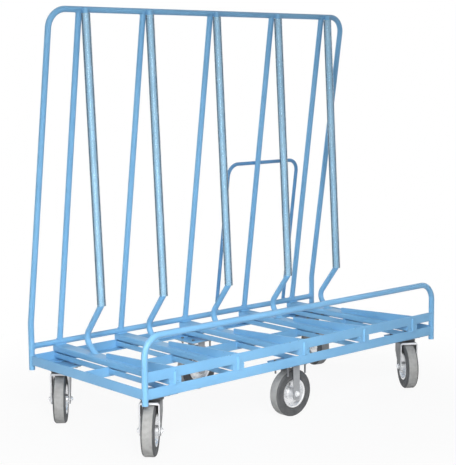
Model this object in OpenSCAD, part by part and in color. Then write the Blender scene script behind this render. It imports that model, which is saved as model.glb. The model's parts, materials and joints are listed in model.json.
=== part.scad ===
// Panel cart: a low angle-iron deck on four swivel casters and two fixed wheels,
// with a leaning tube back, kinked front legs in clear sleeves, and a front hoop.
// X runs along the length, +Y to the back, +Z up; the origin is on the floor, mid-cart.

/* [Frame] */
// Distance between the corner posts along the length
post_pitch_x = 1660; // [1600:5:1760]
// Distance between the corner posts across the depth
post_pitch_y = 770; // [750:5:800]
// Outside diameter of the frame tubes
tube_d = 25; // [23:0.5:26]
// Wall of the frame tubes
tube_wall = 2; // [1.5:0.1:3]
// Centre-line radius of the large tube bends
bend_r = 75; // [55:1:100]
// How far the corner posts reach below the sills
post_drop = 20; // [14:1:32]

/* [Deck] */
// Leg of the sill angle iron
sill_h = 40; // [36:0.5:46]
// Thickness of the sill angle iron
sill_t = 4; // [3:0.5:6]
// How far the sill faces stand outside the post axes
sill_out = 6; // [4:0.5:9]
// Width of each raised slat
slat_w = 60; // [50:1:70]
// Height of each raised slat
slat_h = 25; // [20:1:32]
// Wall of the slat tube
slat_wall = 2.5; // [1.5:0.1:4]
// Height of the front lip bar
lip_h = 40; // [32:1:50]
// Thickness of the front lip bar
lip_t = 6; // [4:0.5:10]
// Height of the lower cross members
cross_h = 22; // [18:1:26]
// Flange of the lower cross members
cross_w = 30; // [22:1:34]
// Thickness of the lower cross members
cross_t = 3; // [2:0.5:5]
// Open slot between a slat and the cross member under it
cross_slot = 6; // [4:0.5:8]
// Thickness of the tapered bearers
bearer_t = 8; // [5:0.5:16]
// Height of a bearer at its back end
bearer_back_h = 18; // [12:1:26]
// Place of a bearer's back end across the depth
bearer_back_y = 45; // [20:1:70]

/* [Back] */
// Overall height of the back
back_h = 1705; // [1600:5:1850]
// How far the top bar stands in front of the rear posts
back_lean = 200; // [170:5:230]
// Height above the deck where the posts start to lean
lean_rise = 110; // [80:5:160]
// Radius of the bend where the posts start to lean
lean_r = 150; // [100:5:250]
// Distance of the outer legs from the posts
leg_inset = 140; // [120:1:160]
// Distance between an outer leg and the inner leg beside it
leg_pitch = 322; // [290:1:350]

/* [Front legs] */
// Sideways step from a rear leg to its front leg
leg_step = 14; // [12:0.5:18]
// How far a front leg's top stands in front of the top bar
leg_lap = 25; // [24:0.5:30]
// How far a front leg rises past the top bar's axis
leg_over = 4; // [0:0.5:8]
// Place of the kink across the depth
kink_y = 95; // [80:1:110]
// Height of the kink above the deck
kink_rise = 208; // [190:1:240]
// Radius of the kink
kink_r = 25; // [24:1:60]
// Place of the heel bend across the depth
heel_y = 216; // [205:1:225]
// Height of the heel bend above the deck
heel_rise = 52; // [48:1:58]
// Radius of the heel bend
heel_r = 45; // [38:1:48]
// Place where the foot meets the slat
toe_y = 150; // [140:1:160]
// Wall of the clear sleeves
sleeve_wall = 5.3; // [3:0.1:6]
// Bare length of leg above a sleeve
sleeve_bare = 14; // [8:1:60]

/* [Hoops] */
// Height of the front hoop's axis above the deck
hoop_rise = 172; // [140:1:220]
// Tube diameter of the rear grab hoop
grab_d = 17; // [15:0.5:18]
// Tube wall of the rear grab hoop
grab_wall = 2; // [1.5:0.1:3]
// Distance of the rear grab hoop's outer leg from the outer rear leg
grab_inset = 42; // [34:1:50]
// Width of the rear grab hoop between its legs
grab_w = 440; // [420:1:450]
// Height of the grab hoop's top above the deck
grab_rise = 713; // [640:1:800]
// Bend radius of the rear grab hoop
grab_r = 55; // [40:1:70]

/* [Wheels] */
// Tyre diameter
tyre_d = 200; // [190:1:206]
// Tyre width
tyre_w = 50; // [44:1:54]
// Radius of the tyre's shoulders
shoulder_r = 9; // [6:0.5:14]
// Depth of the rubber over the rim
tyre_depth = 40; // [30:1:44]
// How far the rim's lips rise beside the tyre
lip_rise = 2; // [1:0.5:6]
// Thickness of the rim's lips
rim_lip_t = 2.6; // [2:0.1:3.4]
// Wall of the rim's drum
drum_t = 7; // [4:0.5:10]
// Thickness of the wheel's web
web_t = 9; // [6:0.5:14]
// Hub diameter
hub_d = 46; // [34:1:56]
// Axle diameter
axle_d = 12; // [10:0.5:14]
// Outside diameter of the wheel's bush
bush_d = 22; // [18:0.5:26]
// Width across flats of the axle's head and nut
axle_hex = 19; // [17:0.5:24]
// Height of the axle's head and nut
axle_hex_h = 8; // [6:0.5:12]

/* [Casters] */
// Distance of the casters from the posts along the length
king_inset_x = 92; // [92:0.5:105]
// Distance of the casters from the posts across the depth
king_inset_y = 78.5; // [78.5:0.5:95]
// Trail of the swivel casters
trail = 50; // [44:1:56]
// Gap between a tyre and the fork's side
tyre_side_gap = 9; // [4:0.5:10]
// Gap between a tyre and the fork's crown
tyre_gap = 9; // [8:0.5:12]
// Thickness of the fork's sheet
fork_t = 6; // [4:0.5:8]
// Radius of a fork leg's lower end
toe_r = 22; // [18:0.5:26]
// How far a fork leg reaches behind the kingpin
fork_heel = 18; // [12:1:26]
// Height of a fork leg's straight back edge
knee_h = 48; // [30:1:70]
// Width of a fixed fork's legs
strut_w = 36; // [28:1:44]
// How far a fixed fork's legs reach below the axle
strut_drop = 26; // [20:1:34]
// Radius of the lower corners of a fixed fork's legs
strut_r = 9; // [4:0.5:13]
// Thickness of the fork's crown
crown_t = 4; // [3:0.5:6]
// Depth of the lip that is turned down at the crown's front edge
crown_lip = 6; // [3:0.5:7]
// Radius of the swivel head
head_r = 44; // [34:1:48]
// Height of the swivel head
head_h = 11; // [9:0.5:16]
// Diameter of the ball race in the swivel head, at its middle
race_d = 62; // [54:1:64]
// Width of the ball race
race_w = 9; // [6:0.5:11]
// Height of the ball race
race_h = 6; // [4:0.5:7]
// Kingpin diameter
pin_d = 16; // [12:0.5:20]
// Diameter of the kingpin's head
pin_head_d = 26; // [22:0.5:30]
// Height of the kingpin's head
pin_head_h = 5; // [3:0.5:6]
// Length of a caster's top plate
plate_l = 135; // [128:1:140]
// Width of a caster's top plate
plate_w = 110; // [104:1:116]
// Thickness of a caster's top plate
plate_t = 5; // [4:0.5:8]
// Bolt spacing along the top plate
bolt_pitch_l = 100; // [92:0.5:100]
// Bolt spacing across the top plate
bolt_pitch_w = 75; // [70:0.5:75]
// Thickness of the mounting plates under the sills
mount_t = 6; // [4:0.5:8]
// How far the mounting plates stand back from the sill faces
mount_back = 14; // [8:1:24]
// Margin of the mounting plates inside the casters
mount_margin = 8; // [4:1:16]
// Bolt diameter
bolt_d = 8; // [6:0.5:9]
// Width across flats of the bolts
bolt_hex = 13; // [11:0.5:13]
// Height of the bolt heads
bolt_head_h = 5.3; // [4:0.1:7]
// Height of the nuts
nut_h = 6.5; // [5:0.1:8]
// Thread standing past a nut
bolt_tail = 3; // [1:0.5:3.5]
// Thread hanging past a nut under the fixed casters
hang_tail = 36; // [10:1:42]

/* [Rest angles] */
// Direction in which the front left wheel trails
front_left_angle = 224; // [0:1:359]
// Direction in which the front right wheel trails
front_right_angle = 236; // [0:1:359]
// Direction in which the rear left wheel trails
rear_left_angle = 231; // [0:1:359]
// Direction in which the rear right wheel trails
rear_right_angle = 255; // [0:1:359]

/* [Hidden] */
$fn = 48;
// Gap left for the weld where a tube is coped to another
weld_gap = 0.25;
// Radial clearance of a running shaft
run_gap = 0.05;
// Axial clearance of a running face
face_gap = 0.3;
// Radial clearance of a bolt in its hole
bolt_gap = 0.5;
// Radial clearance of a sleeve or plug on its tube
slip_gap = 0.3;
// A bend's wall is this much thinner on each side than the straight tube's
bend_thin = 0.05;
// How far a straight tube laps over the start of a bend
bend_lap = 1;
// Length of a tube plug inside its tube
plug_in = 14;
// Thickness of a tube plug's cap
plug_cap = 2;
// Extra length that carries a cut past the surface
over = 40;
// Direction components above this count as lying along X
along_x_share = 0.9;
// Share of the web's reach that its dish takes up
dish_share = 0.5;

axle_z = tyre_d / 2;
crown_z = tyre_d + tyre_gap;
head_z = crown_z + crown_t;
plate_z = head_z + head_h + face_gap;
mount_z = plate_z + plate_t;
sill_z = mount_z + mount_t;
slat_z = sill_z + sill_h;
deck_z = slat_z + slat_h;
post_x = post_pitch_x / 2;
post_y = post_pitch_y / 2;
post_z = sill_z - post_drop;
face_x = post_x + sill_out;
face_y = post_y + sill_out;
tube_r = tube_d / 2;
cope_d = tube_d + 2 * weld_gap;
rail_z = deck_z + tube_r + weld_gap;
bar_y = post_y - back_lean;
bar_z = back_h - tube_r;
hoop_z = deck_z + hoop_rise;
fork_in = tyre_w / 2 + tyre_side_gap;
fork_out = fork_in + fork_t;
hub_half = fork_in - face_gap;
leg_outer_x = post_x - leg_inset;
leg_inner_x = leg_outer_x - leg_pitch;
leg_xs = [-leg_outer_x, -leg_inner_x, 0, leg_inner_x, leg_outer_x];
king_x = post_x - king_inset_x;
king_y = post_y - king_inset_y;
rim_r = axle_z - tyre_depth;

// Rear grab hoop: it lies against the backs of the rear legs
leg_run = [0, bar_y - post_y, bar_z - rail_z];
leg_dir = leg_run / norm(leg_run);
grab_off = (tube_r + grab_d / 2 + weld_gap) * [0, leg_dir[2], -leg_dir[1]];
grab_foot = rail_z - tube_r;
function on_leg(x, z) = [x, post_y + leg_run[1] * (z - rail_z) / leg_run[2], z] + grab_off;

// Front leg: its bends in the plane of one leg, from the top bar to past the deck
leg_top = [0, bar_y - leg_lap, bar_z + leg_over];
leg_kink = [0, kink_y, deck_z + kink_rise];
leg_heel = [0, heel_y, deck_z + heel_rise];
leg_toe = [0, toe_y, deck_z];
leg_end = leg_toe + over * (leg_toe - leg_heel) / norm(leg_toe - leg_heel);
leg_path = [leg_top, leg_kink, leg_heel, leg_end];
leg_bends = [0, kink_r, heel_r, 0];
sleeve_dir = (leg_kink - leg_top) / norm(leg_kink - leg_top);
sleeve_top = leg_top + sleeve_dir * (sleeve_bare + leg_over + tube_r);
sleeve_end = leg_kink - sleeve_dir * bend_reach(leg_path, leg_bends, 1);

paint = "skyblue";
zinc = "gainsboro";
steel = "silver";
rubber = "dimgray";

// Angle by which a path turns at point i
function turn(pts, i) =
    acos((pts[i] - pts[i - 1]) * (pts[i + 1] - pts[i])
        / norm(pts[i] - pts[i - 1]) / norm(pts[i + 1] - pts[i]));

// Length that a bend takes from each straight beside it
function bend_reach(pts, bends, i) =
    i == 0 || i == len(pts) - 1 ? 0 : bends[i] * tan(turn(pts, i) / 2);

// Length by which a straight stops short of point i
function straight_cut(pts, bends, i) = max(0, bend_reach(pts, bends, i) - bend_lap);

// Places children with their +Z along d, at p
module along(p, d) {
    z = d / norm(d);
    side = abs(z[0]) > along_x_share ? [0, 1, 0] : [1, 0, 0];
    x = cross(side, z) / norm(cross(side, z));
    y = cross(z, x);
    multmatrix([[x[0], y[0], z[0], p[0]],
                [x[1], y[1], z[1], p[1]],
                [x[2], y[2], z[2], p[2]],
                [0, 0, 0, 1]])
        children();
}

module ring(d, wall) {
    difference() {
        circle(d = d);
        circle(d = d - 2 * wall);
    }
}

// Straight tube between two points
module tube(a, b, d, wall) {
    along(a, b - a)
        linear_extrude(height = norm(b - a))
            ring(d, wall);
}

// Round bar between two points, for copes and bores
module bar(a, b, d) {
    along(a, b - a)
        cylinder(h = norm(b - a), d = d);
}

// One bend of a tube at point i of a path
module elbow(pts, bends, i, d, wall) {
    u = (pts[i] - pts[i - 1]) / norm(pts[i] - pts[i - 1]);
    v = (pts[i + 1] - pts[i]) / norm(pts[i + 1] - pts[i]);
    n = (v - (u * v) * u) / norm(v - (u * v) * u);
    w = cross(u, n);
    c = pts[i] - u * bend_reach(pts, bends, i) + n * bends[i];
    multmatrix([[-n[0], u[0], w[0], c[0]],
                [-n[1], u[1], w[1], c[1]],
                [-n[2], u[2], w[2], c[2]],
                [0, 0, 0, 1]])
        rotate_extrude(angle = turn(pts, i))
            translate([bends[i], 0])
                ring(d - 2 * bend_thin, wall - 2 * bend_thin);
}

// Tube along a path of points with a bend radius at each inner point
module bent_tube(pts, bends, d, wall) {
    for (i = [0 : len(pts) - 2]) {
        u = (pts[i + 1] - pts[i]) / norm(pts[i + 1] - pts[i]);
        a = pts[i] + u * straight_cut(pts, bends, i);
        b = pts[i + 1] - u * straight_cut(pts, bends, i + 1);
        tube(a, b, d, wall);
    }
    for (i = [1 : len(pts) - 2]) elbow(pts, bends, i, d, wall);
}

// The four corner posts, as cutters for what is coped to them
module post_cutters() {
    for (sx = [-1, 1], sy = [-1, 1])
        translate([sx * post_x, sy * post_y, post_z - over])
            cylinder(h = deck_z + sill_h + lip_h - post_z + over, d = cope_d);
}

// Sill along X on one long side, with its flange at the bottom, inwards
module long_sill(sy) {
    color(paint) difference() {
        scale([1, sy, 1]) union() {
            translate([-post_x, face_y - sill_t, sill_z]) cube([post_pitch_x, sill_t, sill_h]);
            translate([-face_x + sill_t, face_y - sill_h, sill_z])
                cube([2 * (face_x - sill_t), sill_h, sill_t]);
        }
        post_cutters();
    }
}

// Sill along Y at one end; its flange stops at the long sills' flanges
module end_sill(sx) {
    color(paint) difference() {
        scale([sx, 1, 1]) union() {
            translate([face_x - sill_t, -post_y, sill_z]) cube([sill_t, post_pitch_y, sill_h]);
            translate([face_x - sill_h, sill_h - face_y, sill_z])
                cube([sill_h, 2 * (face_y - sill_h), sill_t]);
        }
        post_cutters();
    }
}

module centre_beam() {
    color(paint) {
        translate([sill_t - face_x, -sill_t / 2, sill_z + sill_t])
            cube([2 * (face_x - sill_t), sill_t, sill_h - sill_t]);
        translate([sill_h - face_x, -sill_t / 2, sill_z])
            cube([2 * (face_x - sill_h), sill_h, sill_t]);
    }
}

// Angle irons under the slats, from each long sill to the centre beam
module cross_members() {
    z = slat_z - cross_slot - cross_h;
    color(paint) for (x = leg_xs, sy = [-1, 1])
        translate([x - slat_w / 2 + cross_t, 0, z]) scale([1, sy, 1]) {
            translate([0, sill_t / 2, 0]) cube([cross_t, face_y - sill_t - sill_t / 2, cross_h]);
            translate([0, sill_t / 2, 0]) cube([cross_w, face_y - sill_t - sill_t / 2, cross_t]);
        }
}

// Raised slat: a flat tube across the deck, resting on both long sills
module deck_slat(x) {
    color(paint) translate([x - slat_w / 2, -face_y, slat_z]) difference() {
        cube([slat_w, 2 * face_y, slat_h]);
        translate([slat_wall, -over, slat_wall])
            cube([slat_w - 2 * slat_wall, 2 * (face_y + over), slat_h - 2 * slat_wall]);
    }
}

// Upright plates that rise towards the lip and tilt the load back
module tapered_bearers() {
    front_y = lip_t - face_y;
    color(paint) for (x = leg_xs)
        translate([x - bearer_t / 2, 0, deck_z]) rotate([90, 0, 90])
            linear_extrude(height = bearer_t)
                polygon([[front_y, 0], [bearer_back_y, 0], [bearer_back_y, bearer_back_h], [front_y, lip_h]]);
}

module front_lip() {
    color(paint) difference() {
        translate([-post_x, -face_y, deck_z]) cube([post_pitch_x, lip_t, lip_h]);
        post_cutters();
    }
}

module rear_rail() {
    color(paint) difference() {
        tube([-post_x, post_y, rail_z], [post_x, post_y, rail_z], tube_d, tube_wall);
        post_cutters();
    }
}

// One tube: up a rear post, leaning forward, along the top and down again
module back_arch() {
    lean_z = deck_z + lean_rise;
    color(paint) bent_tube(
        [[-post_x, post_y, post_z], [-post_x, post_y, lean_z], [-post_x, bar_y, bar_z],
         [post_x, bar_y, bar_z], [post_x, post_y, lean_z], [post_x, post_y, post_z]],
        [0, lean_r, bend_r, bend_r, lean_r, 0], tube_d, tube_wall);
}

module top_bar_cutter(d) {
    bar([-post_x, bar_y, bar_z], [post_x, bar_y, bar_z], d);
}

// Straight legs from the rear rail up to the top bar, coped to both
module rear_legs() {
    color(paint) difference() {
        for (x = leg_xs) tube([x, post_y, rail_z], [x, bar_y, bar_z], tube_d, tube_wall);
        bar([-post_x, post_y, rail_z], [post_x, post_y, rail_z], cope_d);
        top_bar_cutter(cope_d);
    }
}

// Kinked leg: laps the front of the top bar and stands on a slat
module front_leg(x) {
    color(paint) difference() {
        translate([x + leg_step, 0, 0]) bent_tube(leg_path, leg_bends, tube_d, tube_wall);
        top_bar_cutter(cope_d);
        translate([x - slat_w, -post_y, slat_z - over]) cube([2 * slat_w, post_pitch_y, slat_h + over]);
    }
}

// Clear tubes over the straight part of the front legs
module leg_sleeves() {
    color("azure", 0.4) for (x = leg_xs) translate([x + leg_step, 0, 0])
        tube(sleeve_top, sleeve_end, tube_d + 2 * (slip_gap + sleeve_wall), sleeve_wall);
}

module front_hoop() {
    color(paint) bent_tube(
        [[-post_x, -post_y, post_z], [-post_x, -post_y, hoop_z],
         [post_x, -post_y, hoop_z], [post_x, -post_y, post_z]],
        [0, bend_r, bend_r, 0], tube_d, tube_wall);
}

module rear_grab_hoop() {
    x2 = leg_outer_x - grab_inset;
    x1 = x2 - grab_w;
    top = deck_z + grab_rise;
    color("steelblue") bent_tube(
        [on_leg(x1, grab_foot), on_leg(x1, top), on_leg(x2, top), on_leg(x2, grab_foot)],
        [0, grab_r, grab_r, 0], grab_d, grab_wall);
}

// Plastic plugs in the open lower ends of the corner posts
module tube_plugs() {
    color("lightsteelblue") for (sx = [-1, 1], sy = [-1, 1])
        translate([sx * post_x, sy * post_y, post_z]) {
            cylinder(h = plug_in, d = tube_d - 2 * (tube_wall + slip_gap));
            translate([0, 0, -plug_cap]) cylinder(h = plug_cap, d = tube_d);
        }
}

// Children at each caster's bolts, seen from the caster's middle
module at_bolts() {
    for (bx = [-1, 1], by = [-1, 1])
        translate([bx * bolt_pitch_l / 2, by * bolt_pitch_w / 2, 0]) children();
}

// Children at the middle of every caster, swivelling and fixed
module at_casters() {
    for (sx = [-1, 0, 1], sy = [-1, 1])
        translate([sx * king_x, sy * king_y, 0]) children();
}

module bolt_holes(z, t) {
    at_bolts() translate([0, 0, z - over]) cylinder(h = t + 2 * over, d = bolt_d + 2 * bolt_gap);
}

// Plates welded under the sill flanges to carry the casters
module mounting_plates() {
    in_x = plate_l / 2 + mount_margin;
    in_y = king_y - plate_w / 2 - mount_margin;
    out_x = face_x - mount_back;
    out_y = face_y - mount_back;
    color(paint) difference() {
        for (sx = [-1, 0, 1], sy = [-1, 1]) {
            low_x = sx == 1 ? king_x - in_x : sx == 0 ? -in_x : -out_x;
            high_x = sx == -1 ? in_x - king_x : sx == 0 ? in_x : out_x;
            low_y = sy == 1 ? in_y : -out_y;
            translate([low_x, low_y, mount_z]) cube([high_x - low_x, out_y - in_y, mount_t]);
        }
        at_casters() bolt_holes(mount_z, mount_t);
        post_cutters();
    }
}

// Drilled plate that is bolted under a mounting plate
module top_plate() {
    difference() {
        translate([-plate_l / 2, -plate_w / 2, plate_z]) cube([plate_l, plate_w, plate_t]);
        bolt_holes(plate_z, plate_t);
    }
}

module caster_top_plates() {
    color(zinc) for (sx = [-1, 1], sy = [-1, 1])
        translate([sx * king_x, sy * king_y, 0]) difference() {
            top_plate();
            translate([0, 0, plate_z - over]) cylinder(h = plate_t + 2 * over, d = pin_d + 2 * run_gap);
        }
}

// Hexagon between two heights, for heads and nuts
module hexagon(z, h, flats) {
    translate([0, 0, z]) cylinder(h = h, r = flats / sqrt(3), $fn = 6);
}

// Swivel casters take their bolts from below, with nuts on the mounting plates. Fixed casters take
// them from above, so their long threads hang below the top plates
module caster_bolts() {
    grip = plate_t + mount_t;
    color(steel) for (sx = [-1, 0, 1], sy = [-1, 1]) translate([sx * king_x, sy * king_y, 0]) at_bolts() {
        head_low = sx == 0 ? sill_z : plate_z - bolt_head_h;
        nut_low = sx == 0 ? plate_z - nut_h : sill_z;
        shank_low = sx == 0 ? nut_low - hang_tail : plate_z;
        shank_h = grip + nut_h + (sx == 0 ? hang_tail : bolt_tail);
        hexagon(head_low, bolt_head_h, bolt_hex);
        hexagon(nut_low, nut_h, bolt_hex);
        translate([0, 0, shank_low]) cylinder(h = shank_h, d = bolt_d);
    }
}

// Riveted pins on which the swivel forks turn
module kingpins() {
    color(steel) for (sx = [-1, 1], sy = [-1, 1])
        translate([sx * king_x, sy * king_y, crown_z - face_gap]) {
            cylinder(h = mount_z - crown_z + face_gap, d = pin_d);
            translate([0, 0, -pin_head_h]) cylinder(h = pin_head_h, d = pin_head_d);
        }
}

// Ball races under the top plates, let into the swivel heads
module swivel_races() {
    color(steel) for (sx = [-1, 1], sy = [-1, 1])
        translate([sx * king_x, sy * king_y, plate_z - race_h])
            linear_extrude(height = race_h) ring(race_d + race_w, race_w);
}

// Extrudes a side-view outline into both legs of a fork
module fork_legs() {
    for (w = [fork_in, -fork_out])
        translate([0, w + fork_t, 0]) rotate([90, 0, 0]) linear_extrude(height = fork_t) children();
}

// The axle's hole in a fork leg's outline
module axle_hole(x) {
    translate([x, axle_z]) circle(d = axle_d + 2 * run_gap);
}

module fixed_forks() {
    color(zinc) for (sy = [-1, 1]) translate([0, sy * king_y, 0]) {
        top_plate();
        fork_legs() difference() {
            union() {
                low_z = axle_z - strut_drop;
                corner_x = strut_w / 2 - strut_r;
                translate([-strut_w / 2, low_z + strut_r]) square([strut_w, plate_z - low_z - strut_r]);
                translate([-corner_x, low_z]) square([2 * corner_x, strut_r]);
                for (x = [-corner_x, corner_x]) translate([x, low_z + strut_r]) circle(r = strut_r);
            }
            axle_hole(0);
        }
    }
}

// Children on a swivel caster's kingpin axis, turned to its rest angle
module at_kingpin(sx, sy, angle) {
    translate([sx * king_x, sy * king_y, 0]) rotate([0, 0, angle]) children();
}

module swivel_fork(sx, sy, angle) {
    tip = trail + toe_r;
    color(zinc) at_kingpin(sx, sy, angle) {
        fork_legs() difference() {
            union() {
                polygon([[tip, axle_z], [tip, crown_z], [-fork_heel, crown_z],
                    [-fork_heel, crown_z - knee_h], [trail - toe_r, axle_z]]);
                translate([trail, axle_z]) circle(r = toe_r);
            }
            axle_hole(trail);
        }
        difference() {
            union() {
                translate([-fork_heel, -fork_out, crown_z]) cube([tip + fork_heel, 2 * fork_out, crown_t]);
                translate([tip - crown_t, -fork_in, crown_z - crown_lip])
                    cube([crown_t, 2 * fork_in, crown_lip]);
                translate([0, 0, crown_z]) cylinder(h = crown_t + head_h, r = head_r);
            }
            translate([0, 0, crown_z - over])
                cylinder(h = crown_t + head_h + 2 * over, d = pin_d + 2 * run_gap);
            translate([0, 0, plate_z - race_h - face_gap])
                linear_extrude(height = race_h + over)
                    ring(race_d + race_w + 2 * face_gap, race_w + 2 * face_gap);
        }
    }
}

// Axle bolt along Y, centred on the wheel
module axle_bolt() {
    rotate([90, 0, 0]) {
        translate([0, 0, -fork_out]) cylinder(h = 2 * fork_out, d = axle_d);
        for (z = [-fork_out - axle_hex_h, fork_out])
            hexagon(z, axle_hex_h, axle_hex);
    }
}

module swivel_axle(sx, sy, angle) {
    color(steel) at_kingpin(sx, sy, angle) translate([trail, 0, axle_z]) axle_bolt();
}

module fixed_axles() {
    color(steel) for (sy = [-1, 1]) translate([0, sy * king_y, axle_z]) axle_bolt();
}

// Section of the rim: hub, dished web and drum with a lip on each side
module rim_section() {
    bore_r = bush_d / 2 + run_gap;
    seat_r = rim_r;
    drum_r = seat_r - drum_t;
    lip_in = tyre_w / 2 - rim_lip_t;
    dish_r = hub_d / 2 + (drum_r - hub_d / 2) * dish_share;
    translate([bore_r, -hub_half]) square([hub_d / 2 - bore_r, 2 * hub_half]);
    polygon([[hub_d / 2, -web_t], [dish_r, -web_t / 2], [drum_r, -web_t / 2],
        [drum_r, web_t / 2], [dish_r, web_t / 2], [hub_d / 2, web_t]]);
    translate([drum_r, -tyre_w / 2]) square([drum_t, tyre_w]);
    for (w = [lip_in, -tyre_w / 2])
        translate([drum_r, w]) square([drum_t + lip_rise, rim_lip_t]);
}

// Section of the tyre: a block with round shoulders, let in beside the rim's lips
module tyre_section() {
    seat_r = rim_r + slip_gap;
    r = axle_z - shoulder_r;
    w = tyre_w / 2 - shoulder_r;
    lip_in = tyre_w / 2 - rim_lip_t - slip_gap;
    difference() {
        union() {
            translate([seat_r, -tyre_w / 2]) square([r - seat_r, tyre_w]);
            translate([seat_r, -w]) square([axle_z - seat_r, 2 * w]);
            for (s = [-w, w]) translate([r, s]) circle(r = shoulder_r);
        }
        for (s = [lip_in, -lip_in - over])
            translate([seat_r - over, s]) square([over + lip_rise, over]);
    }
}

// Plain bush between the hub and the axle
module bush() {
    color("burlywood") rotate([90, 0, 0]) translate([0, 0, -hub_half])
        linear_extrude(height = 2 * hub_half) ring(bush_d, bush_d / 2 - axle_d / 2 - run_gap);
}

module rim() {
    color(zinc) rotate([90, 0, 0]) rotate_extrude() rim_section();
}

module tyre() {
    color(rubber) rotate([90, 0, 0]) rotate_extrude() tyre_section();
}

// Children at a swivel caster's wheel, and at a fixed wheel
module at_wheel(sx, sy, angle) {
    at_kingpin(sx, sy, angle) translate([trail, 0, axle_z]) children();
}

module at_mid(sy) {
    translate([0, sy * king_y, axle_z]) children();
}

long_sill(-1);  // front_sill
long_sill(1);  // rear_sill
end_sill(-1);  // left_sill
end_sill(1);  // right_sill
centre_beam();
cross_members();
deck_slat(leg_xs[0]);  // deck_slat_1
deck_slat(leg_xs[1]);  // deck_slat_2
deck_slat(leg_xs[2]);  // deck_slat_3
deck_slat(leg_xs[3]);  // deck_slat_4
deck_slat(leg_xs[4]);  // deck_slat_5
tapered_bearers();
front_lip();
rear_rail();
back_arch();
rear_legs();
front_leg(leg_xs[0]);  // front_leg_1
front_leg(leg_xs[1]);  // front_leg_2
front_leg(leg_xs[2]);  // front_leg_3
front_leg(leg_xs[3]);  // front_leg_4
front_leg(leg_xs[4]);  // front_leg_5
leg_sleeves();
front_hoop();
rear_grab_hoop();
tube_plugs();
mounting_plates();
caster_top_plates();
caster_bolts();
kingpins();
swivel_races();
fixed_forks();
fixed_axles();
swivel_fork(-1, -1, front_left_angle);  // swivel_fork_front_left
swivel_fork(1, -1, front_right_angle);  // swivel_fork_front_right
swivel_fork(-1, 1, rear_left_angle);  // swivel_fork_rear_left
swivel_fork(1, 1, rear_right_angle);  // swivel_fork_rear_right
swivel_axle(-1, -1, front_left_angle);  // axle_front_left
swivel_axle(1, -1, front_right_angle);  // axle_front_right
swivel_axle(-1, 1, rear_left_angle);  // axle_rear_left
swivel_axle(1, 1, rear_right_angle);  // axle_rear_right
at_wheel(-1, -1, front_left_angle) bush();  // bush_front_left
at_wheel(1, -1, front_right_angle) bush();  // bush_front_right
at_wheel(-1, 1, rear_left_angle) bush();  // bush_rear_left
at_wheel(1, 1, rear_right_angle) bush();  // bush_rear_right
at_mid(-1) bush();  // bush_mid_front
at_mid(1) bush();  // bush_mid_rear
at_wheel(-1, -1, front_left_angle) rim();  // rim_front_left
at_wheel(1, -1, front_right_angle) rim();  // rim_front_right
at_wheel(-1, 1, rear_left_angle) rim();  // rim_rear_left
at_wheel(1, 1, rear_right_angle) rim();  // rim_rear_right
at_mid(-1) rim();  // rim_mid_front
at_mid(1) rim();  // rim_mid_rear
at_wheel(-1, -1, front_left_angle) tyre();  // tyre_front_left
at_wheel(1, -1, front_right_angle) tyre();  // tyre_front_right
at_wheel(-1, 1, rear_left_angle) tyre();  // tyre_rear_left
at_wheel(1, 1, rear_right_angle) tyre();  // tyre_rear_right
at_mid(-1) tyre();  // tyre_mid_front
at_mid(1) tyre();  // tyre_mid_rear
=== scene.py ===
"""Looks of the drywall cart.

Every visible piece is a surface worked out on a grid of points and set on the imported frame, in metres:
+X along the length, +Y to the leaning back, +Z up, with the origin on the floor under the cart's middle.
"""

import json

import bmesh
import bpy
import numpy as np
from mathutils import Matrix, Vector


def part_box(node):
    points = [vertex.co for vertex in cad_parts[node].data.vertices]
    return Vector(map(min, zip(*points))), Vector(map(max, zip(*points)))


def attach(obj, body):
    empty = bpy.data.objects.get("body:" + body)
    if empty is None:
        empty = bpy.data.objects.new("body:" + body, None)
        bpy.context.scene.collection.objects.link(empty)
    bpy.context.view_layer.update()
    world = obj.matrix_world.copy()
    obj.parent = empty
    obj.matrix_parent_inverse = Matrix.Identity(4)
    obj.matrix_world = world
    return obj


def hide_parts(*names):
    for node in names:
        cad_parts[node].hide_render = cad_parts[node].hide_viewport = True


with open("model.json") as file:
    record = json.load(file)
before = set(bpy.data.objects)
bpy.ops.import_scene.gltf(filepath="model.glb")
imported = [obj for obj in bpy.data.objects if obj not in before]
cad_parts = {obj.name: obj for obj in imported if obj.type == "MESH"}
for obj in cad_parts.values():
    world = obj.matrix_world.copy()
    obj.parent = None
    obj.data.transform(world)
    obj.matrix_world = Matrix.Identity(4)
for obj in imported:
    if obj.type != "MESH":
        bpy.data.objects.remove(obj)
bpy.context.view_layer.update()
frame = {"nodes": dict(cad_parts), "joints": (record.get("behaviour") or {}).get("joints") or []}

# Directions, sides and corners
X = np.array([1.0, 0.0, 0.0])
Y = np.array([0.0, 1.0, 0.0])
Z = np.array([0.0, 0.0, 1.0])
SIDES = (-1, 1)
CORNERS = [(sx, sy) for sx in SIDES for sy in SIDES]
FLIP_X = [np.array([side, 1, 1]) for side in SIDES]
FLIP_Z = [np.array([1, 1, side]) for side in SIDES]


def corners(node):
    """Lowest and highest corner of a CAD node, as two arrays."""
    low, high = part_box(node)
    return np.array(low), np.array(high)


def unit(vectors):
    """Vectors divided by their own lengths."""
    return vectors / np.linalg.norm(vectors, axis=-1, keepdims=True)


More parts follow.
